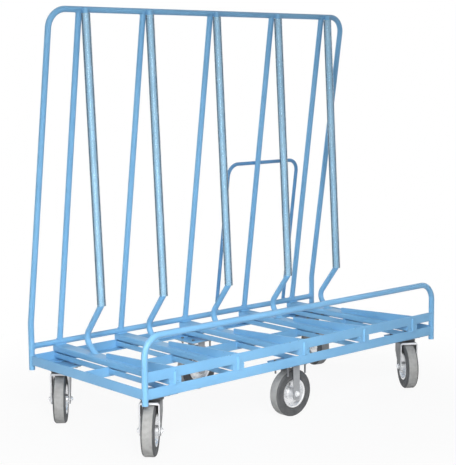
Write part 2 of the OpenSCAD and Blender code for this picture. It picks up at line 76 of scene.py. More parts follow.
# Places that the frame gives
rail_low, rail_high = corners("rear_rail")
hoop_low, hoop_high = corners("front_hoop")
arch_low, arch_high = corners("back_arch")
sill_low, sill_high = corners("front_sill")
cross_low, cross_high = corners("cross_members")
lip_low, lip_high = corners("front_lip")
bearer_low, bearer_high = corners("tapered_bearers")
grab_low, grab_high = corners("rear_grab_hoop")
mount_low, mount_high = corners("mounting_plates")
SLATS = [corners(f"deck_slat_{number}") for number in range(1, 6)]
LEG_XS = [(low[0] + high[0]) / 2 for low, high in SLATS]
TUBE_R = (rail_high[2] - rail_low[2]) / 2
POST_X = hoop_high[0] - TUBE_R
POST_Y = -(hoop_low[1] + TUBE_R)
POST_Z = hoop_low[2]
HOOP_Z = hoop_high[2] - TUBE_R
RAIL_Z = rail_low[2] + TUBE_R
BAR_Y = arch_low[1] + TUBE_R
BAR_Z = arch_high[2] - TUBE_R
SILL_Z = sill_low[2]
SILL_H = sill_high[2] - sill_low[2]
FACE_X = corners("right_sill")[1][0]
FACE_Y = -sill_low[1]
SLAT_Z = SLATS[2][0][2]
DECK_Z = SLATS[2][1][2]
SLAT_W = SLATS[2][1][0] - SLATS[2][0][0]
LIP_T = bearer_low[1] - lip_low[1]
MOUNT_Z = mount_low[2]
PLATE_Z = corners("caster_top_plates")[0][2]
JOINTS = {joint["name"]: joint for joint in frame["joints"]}
FIXED = ("mid_front", "mid_rear")
KING = {name: np.array(JOINTS["swivel_" + name]["pos_m"])
        for name in ("front_left", "front_right", "rear_left", "rear_right")}
HUB = {name: np.array(JOINTS["roll_" + name]["pos_m"]) for name in [*KING, *FIXED]}
AXLE_DIR = {name: unit(np.array(JOINTS["roll_" + name]["axis"], float)) for name in HUB}
KING_X = KING["front_right"][0]
KING_Y = KING["rear_left"][1]
CASTERS = [(sx * KING_X, sy * KING_Y) for sx in (-1, 0, 1) for sy in SIDES]

# Sills and deck
SILL_T = 0.004
SILL_LIFT = 0.0002
POST_IN = 0.0105
IRON_ROUND_SHARES = np.array([0.45, 0.3, 0.3, 0.9, 0.3, 0.3])
CROSS_T = 0.003
CROSS_W = 0.030
CROSS_H = 0.022
WEB_IN = CROSS_T - SLAT_W / 2
SLAT_ROUND = 0.0035
BEARER_T = 0.008
BEARER_BACK_Z = DECK_Z + 0.018
BEARER_ROUND = 0.0012
LIP_ROUND = 0.0014
BOSS_R = 0.0065
BOSS_LOW = SLAT_Z - 0.003
BOSS_HIGH = DECK_Z + 0.029
BOSS_ROUND_SHARES = np.array([0, 0.3, 0.9, 0])

# Tubes, legs and sleeves
TUBE_WALL = 0.002
BEND_R = 0.075
LEAN_Z = DECK_Z + 0.110
LEAN_R = 0.150
LEG_STEP = 0.014
LEG_LAP = 0.025
LEG_OVER = 0.004
KINK_R = 0.025
HEEL_R = 0.045
TOE_SUNK = 0.020
LEG_RUN = np.array([0.0, BAR_Y - POST_Y, BAR_Z - RAIL_Z])
LEG_DIR = unit(LEG_RUN)
LEG_TOP = np.array([0.0, BAR_Y - LEG_LAP, BAR_Z + LEG_OVER])
LEG_KINK = np.array([0.0, 0.095, DECK_Z + 0.208])
LEG_HEEL = np.array([0.0, 0.216, DECK_Z + 0.052])
LEG_TOE = np.array([0.0, 0.150, DECK_Z])
TOE_DIR = unit(LEG_TOE - LEG_HEEL)
SLEEVE_DIR = unit(LEG_KINK - LEG_TOP)
SLEEVE_R = TUBE_R + 0.0003
SLEEVE_WALL = 0.0053
SLEEVE_BARE = 0.020
SLEEVE_OVER = 0.004
SLEEVE_WAVE = 0.00015
SLEEVE_SLOW = 9
SLEEVE_FAST = 23
SLEEVE_STATIONS = 90
FILM_R = SLEEVE_R - 0.00008
FILM_WALL = 0.00014
GRAB_R = 0.0085
GRAB_XS = (grab_low[0] + GRAB_R, grab_high[0] - GRAB_R)
GRAB_TOP = DECK_Z + 0.713
GRAB_BEND_R = 0.055
GRAB_OFF = TUBE_R + GRAB_R + 0.00025
PLUG_R = TUBE_R - TUBE_WALL - 0.0003
PLUG_STEM = 0.014
PLUG_CAP = 0.002
PLUG_ROUNDS = [0, 0.001, 0.0002, 0.0004, 0.0012, 0]

# Weld beads: their radii, and seams by the offsets of their two ends
BEAD = {"post": 0.0028, "ring": 0.0032, "lap": 0.0034, "slat": 0.0022, "lip": 0.0026, "rail": 0.0040,
        "web": 0.0020, "mount": 0.0024, "grab": 0.0030}
BEAD_SWELL = 0.14
BEAD_RIPPLE = 0.0045
BEAD_TAPER = 8
BEAD_TIP = 1e-6
BEAD_LEAST = 8
BEAD_STEP = 0.001
BEAD_TILT = np.array([0.31, 0.47, 0.83])
SEAM_STEPS = 96
SEAM_IN = 0.002
SLAT_SEAM = 0.026
RAIL_SEAM = 0.027
RAIL_SEAM_Y = 0.010
BOSS_SEAM_TOP = DECK_Z + 0.022
BEARER_SEAM = 0.030
BEARER_SEAM_YS = (-0.35, -0.20, -0.05)
POST_SEAM_IN = 0.0112
RAIL_BACK = 0.050
TOE_BACK = 0.030
MOUNT_SEAM = np.array([0.045, 0.020])
LAP_SEAM = np.array([(0.006, 0, -0.009), (0.006, 0.001, 0.008)])
FOOT_SEAM = np.array([(0.006, -0.007, -0.010), (0.006, -0.007, 0.010)])
TIE_SEAM = np.array([(-0.010, -0.008, 0.006), (0.010, -0.008, 0.006)])

# Plates and fasteners
PLATE_L = 0.135
PLATE_W = 0.110
PLATE_ROUND = 0.009
PLATE_EASE = 0.001
MOUNT_EDGE = 0.008
MOUNT_ROUND = 0.004
MOUNT_EASE = 0.0008
BOLT_X = 0.050
BOLT_Y = 0.0375
BOLT_R = 0.004
BOLT_FLATS = 0.013
BOLT_HEAD = 0.0053
BOLT_WASHER_R = 0.58 * BOLT_FLATS
BOLT_WASHER_T = 0.0012
NUT_H = 0.0065
BOLT_TAIL = 0.003
HANG_TAIL = 0.036
THREAD_IN = 0.001
THREAD_PITCH = 0.0015
THREAD_DEPTH = 0.0004
HEX_FALL_SHARE = 0.12
HEX_TOP_SHARE = 0.94
WASHER_EASE = 0.0003
AXLE_R = 0.006
AXLE_FLATS = 0.019
AXLE_NUT = 0.008
AXLE_WASHER_R = 0.0122
AXLE_WASHER_T = 0.0015
DOME_R = 0.0078
DOME_H = 0.0042
DOME_SUNK = 0.0004

# Forks; the marks of a folded sheet's ring are 1 on its cut edges, which the zinc paints with a pale
# highlight
FORK_IN = 0.034
FORK_OUT = 0.040
FORK_HEEL = 0.018
FORK_SHOULDER = 0.016
FORK_BEND_R = 0.010
FORK_STATIONS = 40
SHEET_EASE = 0.0012
EDGE_HIGHLIGHT_MARKS = np.array([1.0, 0, 0, 1, 1, 0, 0, 1])
TRAIL = 0.050
TOE_R = 0.022
KNEE_Z = 0.161
CROWN_Z = 0.209
CROWN_TOP = 0.213
CROWN_LIP = 0.006
CROWN_LIP_T = 0.004
CROWN_LIP_ROUNDS = [0.001, 0.0012, 0.003, 0.001]
HEAD_R = 0.044
HEAD_BORE = 0.0085
HEAD_SKIRT = 0.003
HEAD_STEP = 0.001
HEAD_GAP = 0.0006
HEAD_ROUNDS = [0, 0.0005, 0.0015, 0.001, 0.004, 0]
FORK_BOSS_R = 0.016
FORK_BOSS_IN = 0.0015
FORK_BOSS_H = 0.0012
FORK_BOSS_SUNK = 0.0004
FORK_BOSS_ROUNDS = [0, 0.0003, 0.0006, 0]
STRUT_HALF = 0.018
STRUT_LOW = 0.074
STRUT_R = 0.009
STRUT_CROWN = 0.004

# Wheels: radius, distance from the middle and rounding at each corner of half a section
TYRE_HALF = [(0.0603, 0.0212, 0.0004), (0.0630, 0.0236, 0.0008), (0.0648, 0.0254, 0.0010),
             (0.0680, 0.0254, 0.0010), (0.0698, 0.0241, 0.0010), (0.0795, 0.0241, 0.0006),
             (0.0803, 0.0247, 0.0006), (0.0935, 0.0250, 0.0050), (0.0998, 0.0185, 0.0050)]
RIM_HALF = [(0.0112, 0.0330, 0.0004), (0.0125, 0.0337, 0.0005), (0.0205, 0.0337, 0.0020),
            (0.0212, 0.0120, 0.0040), (0.0262, 0.0064, 0.0020), (0.0462, 0.0064, 0.0035),
            (0.0530, 0.0200, 0.0030), (0.0560, 0.0240, 0.0015), (0.0612, 0.0250, 0.0008),
            (0.0620, 0.0240, 0.0005), (0.0604, 0.0224, 0.0005)]
TREAD_R = 0.090
TREAD_HALF = 0.0205
TREAD_FADE = 0.003
PAD_COUNT = 6
PAD_H = 0.0018
PAD_IN = 0.0285
PAD_OUT = 0.0455
PAD_FADE = 0.0025
PAD_STEEP = 1.4
WEB_HALF = 0.009

# How finely the surfaces are cut
TUBE_SIDES = 36
BEND_STEPS = 14
ROUND_STEPS = 5
FINE_STEPS = 9
TURN_STEPS = 96
HEX_STEPS = 36
BOLT_SIDES = 24
SMALL_STEPS = 32
BOSS_STEPS = 48
RIM_ROUND_STEPS = 7
THREAD_RINGS = 8
FLOOR_RINGS = 24
TYRE_STEPS = 128
RIM_STEPS = 144
RIM_POINTS = 200
BEAD_SIDES = 10
SHARP_ANGLE = np.radians(38)
MARK_MARGIN = 0.0015
EASED_MARK = 0.5
MERGE = 2e-6
NEAR_AXIS = 0.9
GUARD = 1e-12

# Studio: each lamp's name, place, aim, size, beam in degrees, power in watts, and whether gloss shows it
WORLD_LEVEL = 0.20
FLOOR_WHITE = 0.92
FLOOR_FADE = (0.7, 1.9)
FLOOR_R = 9.0
FLOOR_DROP = 0.0004
FLOOR_SIDES = 64
LAMPS = [("key", (-2.5, -3.3, 2.4), (-0.35, -0.3, 0.10), (2.2, 2.2), 54.0, 25.0, False),
         ("fill", (-3.6, -2.6, 1.3), (-0.3, 0.0, 0.8), (0.9, 2.2), 180.0, 48.0, False),
         ("strip", (-3.3, -3.2, 1.3), (-0.2, 0.0, 0.9), (0.7, 2.2), 180.0, 17.0, True),
         ("back", (-0.8, 4.2, 1.5), (0.0, 0.0, 0.8), (1.8, 1.8), 180.0, 80.0, False),
         ("side", (4.3, 0.3, 1.5), (0.0, 0.0, 0.7), (1.8, 1.8), 180.0, 60.0, False)]
LAMP_UP = np.array([0.0, 0.001, 1.0])
CAMERA_PLACE = (-3.5231, -3.9008, 1.4454)
CAMERA_AHEAD = np.array([0.65692, 0.74248, -0.13109])
CAMERA_DOWN = np.array([-0.09320, -0.09257, -0.99133])
CAMERA_LENS = 96.57
CAMERA_SENSOR = 36.0


def angles(steps):
    """Angles of a whole turn in even steps."""
    return np.linspace(0, 2 * np.pi, steps, endpoint=False)


def run_length(line):
    """Length along a line up to each of its points."""
    return np.concatenate([[0], np.cumsum(np.linalg.norm(np.diff(line, axis=0), axis=-1))])


def circle(radius, sides):
    """Ring of points, radius times (cos a, sin a); one ring for each radius given."""
    a = angles(sides)
    return np.multiply.outer(radius, np.stack([np.cos(a), np.sin(a)], -1))


def polar(r, a, z):
    """Points (r cos a, r sin a, z)."""
    return np.stack(np.broadcast_arrays(r * np.cos(a), r * np.sin(a), z), -1)


def cylinder(radius, low, high, sides):
    """Two rings about z, at a low and a high height."""
    return polar(radius, angles(sides), np.array([[low], [high]]))


def rounded_line(points, radii, closed=False, steps=BEND_STEPS):
    """Line through points with its turns rounded. Where unit runs u and v meet at angle t, the arc of
    radius r starts r tan(t/2) before the point and follows start + r sin(a) u + r (1 - cos a) n for a from
    0 to t, n being the part of v that is square to u."""
    c = np.asarray(points, float)
    r = np.broadcast_to(np.asarray(radii, float), len(c))
    u = unit(c - np.roll(c, 1, 0))
    v = np.roll(u, -1, 0)
    cos_t = (u * v).sum(-1, keepdims=True)
    t = np.arccos(np.clip(cos_t, -1, 1))
    n = unit(v - cos_t * u + GUARD)
    start = c - u * r[:, None] * np.tan(t / 2)
    a = t * np.linspace(0, 1, steps)
    arcs = (start[:, None] + r[:, None, None] * (np.sin(a)[..., None] * u[:, None]
            + (1 - np.cos(a))[..., None] * n[:, None]))
    if closed:
        return arcs.reshape(-1, c.shape[1])
    return np.concatenate([c[:1], arcs[1:-1].reshape(-1, c.shape[1]), c[-1:]])


def section(points, rounds):
    """Open section with small rounded corners."""
    return rounded_line(points, rounds, steps=ROUND_STEPS)


def soft_outline(points, radius):
    """Closed outline with rounded corners, and a mark for each of its points: 1 on the corners, 0 where the
    flats begin, one margin past each arc."""
    arcs = rounded_line(points, radius, closed=True, steps=ROUND_STEPS).reshape(-1, ROUND_STEPS, 2)
    first = arcs[:, :1] - MARK_MARGIN * unit(arcs[:, 1:2] - arcs[:, :1])
    last = arcs[:, -1:] + MARK_MARGIN * unit(arcs[:, -1:] - arcs[:, -2:-1])
    outline = np.concatenate([first, arcs, last], 1)
    mark = np.ones(outline.shape[:2])
    mark[:, [0, -1]] = 0
    return outline.reshape(-1, 2), mark.reshape(-1)


def rectangle(low_x, low_y, high_x, high_y):
    """Corners of a rectangle, run counter-clockwise."""
    return [(low_x, low_y), (high_x, low_y), (high_x, high_y), (low_x, high_y)]


def carried(path, outline, side, closed=False):
    """Outline carried along a path: p(i, k) = path_i + x_k s_i + y_k (t_i x s_i), where t is the mean of the
    two runs that meet at point i and s is the given side vector made square to t."""
    runs = unit(np.roll(path, -1, 0) - path)
    before = np.roll(runs, 1, 0)
    if not closed:
        before[0] = runs[0]
        runs[-1] = before[-1]
    t = unit(before + runs)
    side = np.broadcast_to(side, t.shape)
    s = unit(side - (side * t).sum(-1, keepdims=True) * t)
    up = np.cross(t, s)
    return path[:, None] + outline[..., :1] * s[:, None] + outline[..., 1:] * up[:, None]


def pipe(path, outer, inner, side):
    """Wall of a tube: a ring of the outer radius carried along a path, and an inner one carried back."""
    skins = [carried(path, circle(radius, TUBE_SIDES), side) for radius in (outer, inner)]
    return np.concatenate([skins[0], skins[1][::-1]])


def revolved(profile, steps=TURN_STEPS):
    """Profile of (radius, height) points turned about z: p(a, k) = (r_k cos a, r_k sin a, h_k)."""
    return polar(profile[:, 0], angles(steps)[:, None], profile[:, 1])


def placed(grid, origin, x_axis, z_axis):
    """Local points in the frame: origin + x X' + y (Z' x X') + z Z'."""
    basis = np.stack([x_axis, np.cross(z_axis, x_axis), z_axis])
    return np.asarray(origin) + grid @ basis


def patch(grid, wrap_rows=False, wrap_cols=False, caps=False, mark=0.0):
    """Points, marks and faces of a grid: each row is joined to the next and each point to its neighbour, and
    caps close the first and last row."""
    rows, cols = grid.shape[:2]
    i = np.arange(rows if wrap_rows else rows - 1)[:, None]
    j = np.arange(cols if wrap_cols else cols - 1)[None, :]
    i2 = (i + 1) % rows
    j2 = (j + 1) % cols
    square = np.stack([i * cols + j, i * cols + j2, i2 * cols + j2, i2 * cols + j], -1)
    blocks = [square.reshape(-1, 4)]
    if caps:
        end = np.arange(cols)[None]
        blocks += [end[:, ::-1], end + (rows - 1) * cols]
    return grid.reshape(-1, 3), np.broadcast_to(mark, (rows, cols)).reshape(-1), blocks


def looped(grid, mark=0.0):
    """Patch that closes on itself along its rows and its columns."""
    return patch(grid, wrap_rows=True, wrap_cols=True, mark=mark)


def capped(grid, mark=0.0):
    """Patch of closed rings joined in a row, with the first and the last one capped."""
    return patch(grid, wrap_cols=True, caps=True, mark=mark)


def new_object(name, data):
    """Object in the scene, with its own data."""
    obj = bpy.data.objects.new(name, data)
    bpy.context.scene.collection.objects.link(obj)
    return obj


def stand(obj, place, right, back):
    """Puts a lamp or camera at a place, with its right and back directions."""
    turn = np.eye(4)
    turn[:3, :3] = np.stack([right, np.cross(back, right), back], -1)
    turn[:3, 3] = place
    obj.matrix_world = Matrix(turn.tolist())


def shaped(name, patches, material):
    """Object of patches: doubles merged, faces outwards, smooth but for its sharp turns."""
    points, marks, faces, count = [], [], [], 0
    for grid, mark, blocks in patches:
        points += grid.tolist()
        marks.append(mark)
        for block in blocks:
            faces += (block + count).tolist()
        count += len(grid)
    mesh = bpy.data.meshes.new(name)
    mesh.from_pydata(points, [], faces)
    edge = mesh.attributes.new("edge", "FLOAT", "POINT")
    edge.data.foreach_set("value", np.concatenate(marks).astype(np.float32))
    work = bmesh.new()
    work.from_mesh(mesh)
    bmesh.ops.remove_doubles(work, verts=work.verts, dist=MERGE)
    bmesh.ops.recalc_face_normals(work, faces=work.faces)
    work.to_mesh(mesh)
    work.free()
    mesh.shade_smooth()
    mesh.set_sharp_from_angle(angle=SHARP_ANGLE)
    mesh.materials.append(material)
    return new_object(name, mesh)


def piece(name, patches, material, body, slot, *nodes):
    """Piece of the cart: an object of patches that rides on a body, in place of CAD nodes."""
    obj = shaped(name, patches, material)
    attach(obj, body)
    if nodes:
        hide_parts(*nodes)


def painted(name, patches, *nodes):
    """Piece of the welded frame, in blue enamel."""
    piece(name, patches, PAINT, "cart", "blue_paint", *nodes)


def tube(points, radii, side, radius=TUBE_R):
    """Bent tube: its wall carried along the rounded line."""
    return looped(pipe(rounded_line(points, radii), radius, radius - TUBE_WALL, side))


def rod(points, radii, side):
    """Bent round bar with flat ends: a ring carried along the rounded line."""
    return capped(carried(rounded_line(points, radii), circle(TUBE_R, TUBE_SIDES), side))


def bar(start, end, side, outline, radius):
    """Bar of a rounded outline from start to end; the outline's x runs along side."""
    ring, mark = soft_outline(outline, radius)
    return capped(carried(np.array([start, end], float), ring, side), mark)


def angle_iron(start, end, inward, height, width, thick):
    """Angle iron from start to end: an upright leg on the outer face and a flange inwards at the bottom."""
    start, end = np.array(start, float), np.array(end, float)
    if np.dot(end - start, np.cross(inward, Z)) < 0:
        start, end = end, start
    outline = [(0, 0), (width, 0), (width, thick), (thick, thick), (thick, height), (0, height)]
    return bar(start, end, inward, outline, thick * IRON_ROUND_SHARES)


def slab(points, radius, low, high, ease):
    """Flat plate between two heights with rounded corners and eased edges: the outline is drawn in by the
    ease on both faces."""
    outline = rounded_line(points, radius, closed=True, steps=ROUND_STEPS)
    step = np.roll(outline, -1, 0) - np.roll(outline, 1, 0)
    drawn_in = outline + ease * unit(np.stack([-step[:, 1], step[:, 0]], -1))
    rings = [(drawn_in, low), (outline, low + ease), (outline, high - ease), (drawn_in, high)]
    return capped(np.stack([np.insert(ring, 2, z, axis=1) for ring, z in rings]), EASED_MARK)


def bead(curve, size, closed=False):
    """Weld bead: a ring carried along a curve, with radius size (1 + swell cos(2 pi s / ripple)) at run
    length s; an open bead's ends shrink to points."""
    s = run_length(curve)
    radius = size * (1 + BEAD_SWELL * np.cos(2 * np.pi * s / BEAD_RIPPLE))
    if not closed:
        share = 2 * s / s[-1] - 1
        radius = radius * np.sqrt(np.clip(1 - np.abs(share) ** BEAD_TAPER, BEAD_TIP, 1))
    rings = carried(curve, circle(radius, BEAD_SIDES), BEAD_TILT, closed)
    return patch(rings, wrap_rows=closed, wrap_cols=True)


def bead_line(start, end, kind):
    """Weld bead on the straight from start to end, a ring every step."""
    start, end = np.array(start, float), np.array(end, float)
    share = np.linspace(0, 1, max(BEAD_LEAST, int(np.linalg.norm(end - start) / BEAD_STEP)))
    return bead(start + share[:, None] * (end - start), BEAD[kind])


def bead_across(x, y, z, kind, half=SLAT_SEAM):
    """Bead along X, half its length to each side of x."""
    return bead_line((x - half, y, z), (x + half, y, z), kind)


def bead_up(x, y, low, high, kind):
    """Upright bead between two heights."""
    return bead_line((x, y, low), (x, y, high), kind)


def tube_ring(point, run):
    """Ring of points round a tube's axis at a point, square to its run."""
    side = unit(np.cross(run, X if abs(run[0]) < NEAR_AXIS else Y))
    ring = circle(TUBE_R, SEAM_STEPS)
    return point + ring[:, :1] * side + ring[:, 1:] * np.cross(run, side)


def bead_on_bar(point, run, bar_point, bar_run):
    """Bead where a tube meets another. Each ring point q moves by k along the run, where k is the smaller
    root of |w + k r| = tube radius, w and r being q - bar_point and the run with their parts along the other
    tube taken away."""
    q = tube_ring(point, run)
    w = q - bar_point
    w = w - (w @ bar_run)[:, None] * bar_run
    r = run - (run @ bar_run) * bar_run
    a, b, c = r @ r, 2 * w @ r, (w * w).sum(-1) - TUBE_R ** 2
    k = (-b - np.sqrt(np.clip(b * b - 4 * a * c, 0, None))) / (2 * a)
    return bead(q + k[:, None] * run, BEAD["ring"], closed=True)


def bead_on_floor(point, run, height):
    """Bead where a tube stands on a level face: each ring point moves along the run to that height."""
    q = tube_ring(point, run)
    k = (height - q[:, 2]) / run[2]
    return bead(q + k[:, None] * run, BEAD["ring"], closed=True)


def hex_head(flats, height):
    """Hexagonal head with a turned top: reach(a) = flats / 2 / cos(a mod 60 - 30), and the side's upper edge
    falls where a cone cuts the corners."""
    a = angles(HEX_STEPS)
    half = flats / 2
    reach = half / np.cos(np.mod(a, np.pi / 3) - np.pi / 6)
    corner = 2 * half / np.sqrt(3)
    fall = HEX_FALL_SHARE * flats * (reach - half) / (corner - half)
    nought = np.zeros(HEX_STEPS)
    r = np.stack([nought, reach, reach, nought + HEX_TOP_SHARE * half, nought])
    z = np.stack([nought, nought, height - fall, nought + height, nought + height])
    return polar(r, a, z)


def thread(radius, length):
    """Screw thread in rings: r = radius - depth (1 - cos(2 pi z / pitch - a)) / 2."""
    z = np.linspace(0, length, int(length / THREAD_PITCH * THREAD_RINGS))[:, None]
    a = angles(BOLT_SIDES)
    r = radius - THREAD_DEPTH * (1 - np.cos(2 * np.pi * z / THREAD_PITCH - a)) / 2
    return polar(r, a, z)


def washer(radius, bore, height):
    """Flat ring with eased edges, closed through its bore."""
    rim = radius - WASHER_EASE
    profile = np.array([(bore, 0), (rim, 0), (radius, WASHER_EASE), (radius, height - WASHER_EASE),
                        (rim, height), (bore, height)])
    return revolved(profile, SMALL_STEPS)


def new_material(name):
    """Material with nodes, its tree and its Principled shader."""
    material = bpy.data.materials.new(name)
    material.use_nodes = True
    tree = material.node_tree
    return material, tree, tree.nodes["Principled BSDF"]


def join(tree, socket, value):
    """Links a socket to another, or sets it to a number, a list or a colour, which is an opaque tuple."""
    if isinstance(value, bpy.types.NodeSocket):
        tree.links.new(value, socket)
    else:
        socket.default_value = (*value, 1.0) if isinstance(value, tuple) else value


def feed(tree, node, **values):
    """Joins a node's inputs to values by name, an underscore standing for a space."""
    for label, value in values.items():
        join(tree, node.inputs[label.replace("_", " ")], value)
    return node


def add(tree, kind, **values):
    """New shader node of a kind, with its inputs fed."""
    return feed(tree, tree.nodes.new("ShaderNode" + kind), **values)


def new_group(name, inputs, output):
    """Shader group with float inputs (name, default) and one float output."""
    tree = bpy.data.node_groups.new(name, "ShaderNodeTree")
    for label, value in inputs:
        socket = tree.interface.new_socket(label, in_out="INPUT", socket_type="NodeSocketFloat")
        socket.default_value = value
    tree.interface.new_socket(output, in_out="OUTPUT", socket_type="NodeSocketFloat")
    return tree, tree.nodes.new("NodeGroupInput").outputs, tree.nodes.new("NodeGroupOutput").inputs[output]


def math_node(tree, operation, first, second):
    """Math node on two values, each a socket or a number."""
    node = add(tree, "Math")
    node.operation = operation
    join(tree, node.inputs[0], first)
    join(tree, node.inputs[1], second)
    return node.outputs[0]


def spread(tree, value, low, high, to_low, to_high):
    """Map Range of a value, clamped, with smooth ends; the limits are sockets or numbers."""
    node = add(tree, "MapRange", Value=value, From_Min=low, From_Max=high, To_Min=to_low, To_Max=to_high)
    node.interpolation_type = "SMOOTHSTEP"
    return node.outputs["Result"]


def object_place(tree):
    """Object coordinates."""
    return add(tree, "TexCoord").outputs["Object"]


def noise(tree, scale, detail, stretch=None):
    """Noise on Object coordinates, stretched along an axis where asked; scale is a socket or a number."""
    place = object_place(tree)
    if stretch:
        place = add(tree, "Mapping", Vector=place, Scale=stretch).outputs["Vector"]
    return add(tree, "TexNoise", Vector=place, Scale=scale, Detail=detail).outputs["Fac"]


def edge_mark(tree):
    """The mark that a piece's points carry."""
    node = add(tree, "Attribute")
    node.attribute_name = "edge"
    return node.outputs["Fac"]


def mottle_group():
    """Cloudy value between Low and High at a given Scale."""
    tree, given, out = new_group("mottle", [("Scale", 8.0), ("Low", 0.0), ("High", 1.0)], "Value")
    cloud = noise(tree, given["Scale"], detail=4.0)
    tree.links.new(spread(tree, cloud, 0.3, 0.7, given["Low"], given["High"]), out)
    return tree


def chips_group():
    """Mask of small chips: noise lifted along the marked edges and in patches, cut at a level."""
    tree, given, out = new_group("edge_chips", [("Scale", 160.0), ("Reach", 0.12), ("Level", 0.68)], "Mask")
    worn_share, lift, soft = 0.25, 0.15, 0.03
    lifted = math_node(tree, "MULTIPLY", edge_mark(tree), given["Reach"])
    wear_and_lit_tread = math_node(tree, "MULTIPLY", noise(tree, scale=11.0, detail=2.0), worn_share)
    total = math_node(tree, "ADD", noise(tree, given["Scale"], detail=5.0), lifted)
    total = math_node(tree, "ADD", total, wear_and_lit_tread)
    top = math_node(tree, "ADD", given["Level"], lift)
    above = math_node(tree, "ADD", top, soft)
    tree.links.new(spread(tree, total, top, above, 0.0, 1.0), out)
    return tree


def ripple_group():
    """Fine ripple height of sprayed or moulded skin, two scales of noise added."""
    tree, given, out = new_group("skin_ripple", [("Scale", 300.0), ("Grit", 0.3)], "Height")
    fine = math_node(tree, "MULTIPLY", noise(tree, scale=1400.0, detail=2.0), given["Grit"])
    tree.links.new(math_node(tree, "ADD", noise(tree, given["Scale"], detail=2.0), fine), out)
    return tree


GROUPS = {"mottle": mottle_group(), "chips": chips_group(), "ripple": ripple_group()}


def use_group(tree, key, **values):
    """Group node in a material with its own values; returns its output."""
    node = add(tree, "Group")
    node.node_tree = GROUPS[key]
    return feed(tree, node, **values).outputs[0]


def blend_colour(tree, mask, first, second):
    """Colour mixed from first to second by a mask; each is a colour or a socket."""
    node = add(tree, "Mix")
    node.data_type = "RGBA"
    tree.links.new(mask, node.inputs["Factor"])
    for socket, colour in zip([s for s in node.inputs if s.type == "RGBA"], (first, second)):
        join(tree, socket, colour)
    return [s for s in node.outputs if s.type == "RGBA"][0]


def clouded(tree, scale, first, second):
    """Two tones in clouds of a scale."""
    return blend_colour(tree, use_group(tree, "mottle", Scale=scale), first, second)


def uneven_gloss(tree, shader, scale, low, high):
    """Roughness that wanders between two values."""
    feed(tree, shader, Roughness=use_group(tree, "mottle", Scale=scale, Low=low, High=high))


def rippled(tree, shader, scale, grit, strength, depth):
    """Skin ripple as bump in the shader's normal."""
    height = use_group(tree, "ripple", Scale=scale, Grit=grit)
    bump = add(tree, "Bump", Strength=strength, Distance=depth, Height=height)
    feed(tree, shader, Normal=bump.outputs["Normal"])


def mix_surface(tree, factor, first, second):
    """Surface of a material, mixed from a first to a second shader by a factor."""
    mix = add(tree, "MixShader")
    for socket, given in zip(mix.inputs, (factor, first, second)):
        tree.links.new(given, socket)
    feed(tree, tree.nodes["Material Output"], Surface=mix.outputs["Shader"])


def paint_material(name, light, dark):
    """Sprayed enamel: clouded colour, orange-peel ripple, small chips to primer on the edges."""
    material, tree, shader = new_material(name)
    primer, primer_rough = (0.13, 0.24, 0.36), 0.62
    chips = use_group(tree, "chips", Scale=170.0, Reach=0.14, Level=0.76)
    colour = blend_colour(tree, chips, clouded(tree, 5.0, dark, light), primer)
    gloss = use_group(tree, "mottle", Scale=14.0, Low=0.34, High=0.44)
    rough = spread(tree, chips, 0.0, 1.0, gloss, primer_rough)
    feed(tree, shader, Base_Color=colour, Roughness=rough, Specular_IOR_Level=0.6)
    rippled(tree, shader, scale=260.0, grit=0.25, strength=0.10, depth=0.0006)
    return material


def zinc_material(name, light, dark, low, high, metal=0.85):
    """Plated steel: crystal patches and rolled streaks of two greys, a pale painted highlight on the marked
    edges, and a soft uneven gloss of low to high roughness."""
    material, tree, shader = new_material(name)
    # Pale grey painted along the marked edges as a highlight.
    edge_highlight = (0.70, 0.71, 0.73)
    cell_share, streak_share = 0.35, 0.65
    cells = add(tree, "TexVoronoi", Vector=object_place(tree), Scale=130.0)
    tone = math_node(tree, "MULTIPLY", cells.outputs["Color"], cell_share)
    rolled = noise(tree, scale=90.0, detail=3.0, stretch=[1.0, 1.0, 9.0])
    streak = math_node(tree, "MULTIPLY", rolled, streak_share)
    colour = blend_colour(tree, math_node(tree, "ADD", tone, streak), dark, light)
    feed(tree, shader, Base_Color=blend_colour(tree, edge_mark(tree), colour, edge_highlight), Metallic=metal)
    uneven_gloss(tree, shader, scale=38.0, low=low, high=high)
    rippled(tree, shader, scale=420.0, grit=0.5, strength=0.08, depth=0.0004)
    return material


def tyre_material():
    """Solid rubber: dark moulded sides, a paler tread by the edge mark that is painted light, speckled with
    grit.
    """
    material, tree, shader = new_material("tyre_rubber")
    side = clouded(tree, 30.0, (0.070, 0.072, 0.075), (0.095, 0.097, 0.100))
    # The tread's paler tone is painted light: the tread drawn lit, the sides left dark.
    tread = clouded(tree, 55.0, (0.27, 0.27, 0.265), (0.32, 0.32, 0.315))
    tread_edge_wobble = use_group(tree, "mottle", Scale=70.0, Low=-0.08, High=0.08)
    wear_and_lit_tread = math_node(tree, "ADD", edge_mark(tree), tread_edge_wobble)
    colour = blend_colour(tree, spread(tree, wear_and_lit_tread, 0.3, 0.75, 0.0, 1.0), side, tread)
    grit = use_group(tree, "chips", Scale=420.0, Reach=0.02, Level=0.70)
    grit_colour = (0.20, 0.19, 0.18)
    feed(tree, shader, Base_Color=blend_colour(tree, grit, colour, grit_colour))
    uneven_gloss(tree, shader, scale=45.0, low=0.62, high=0.85)
    rippled(tree, shader, scale=520.0, grit=0.8, strength=0.22, depth=0.0006)
    return material


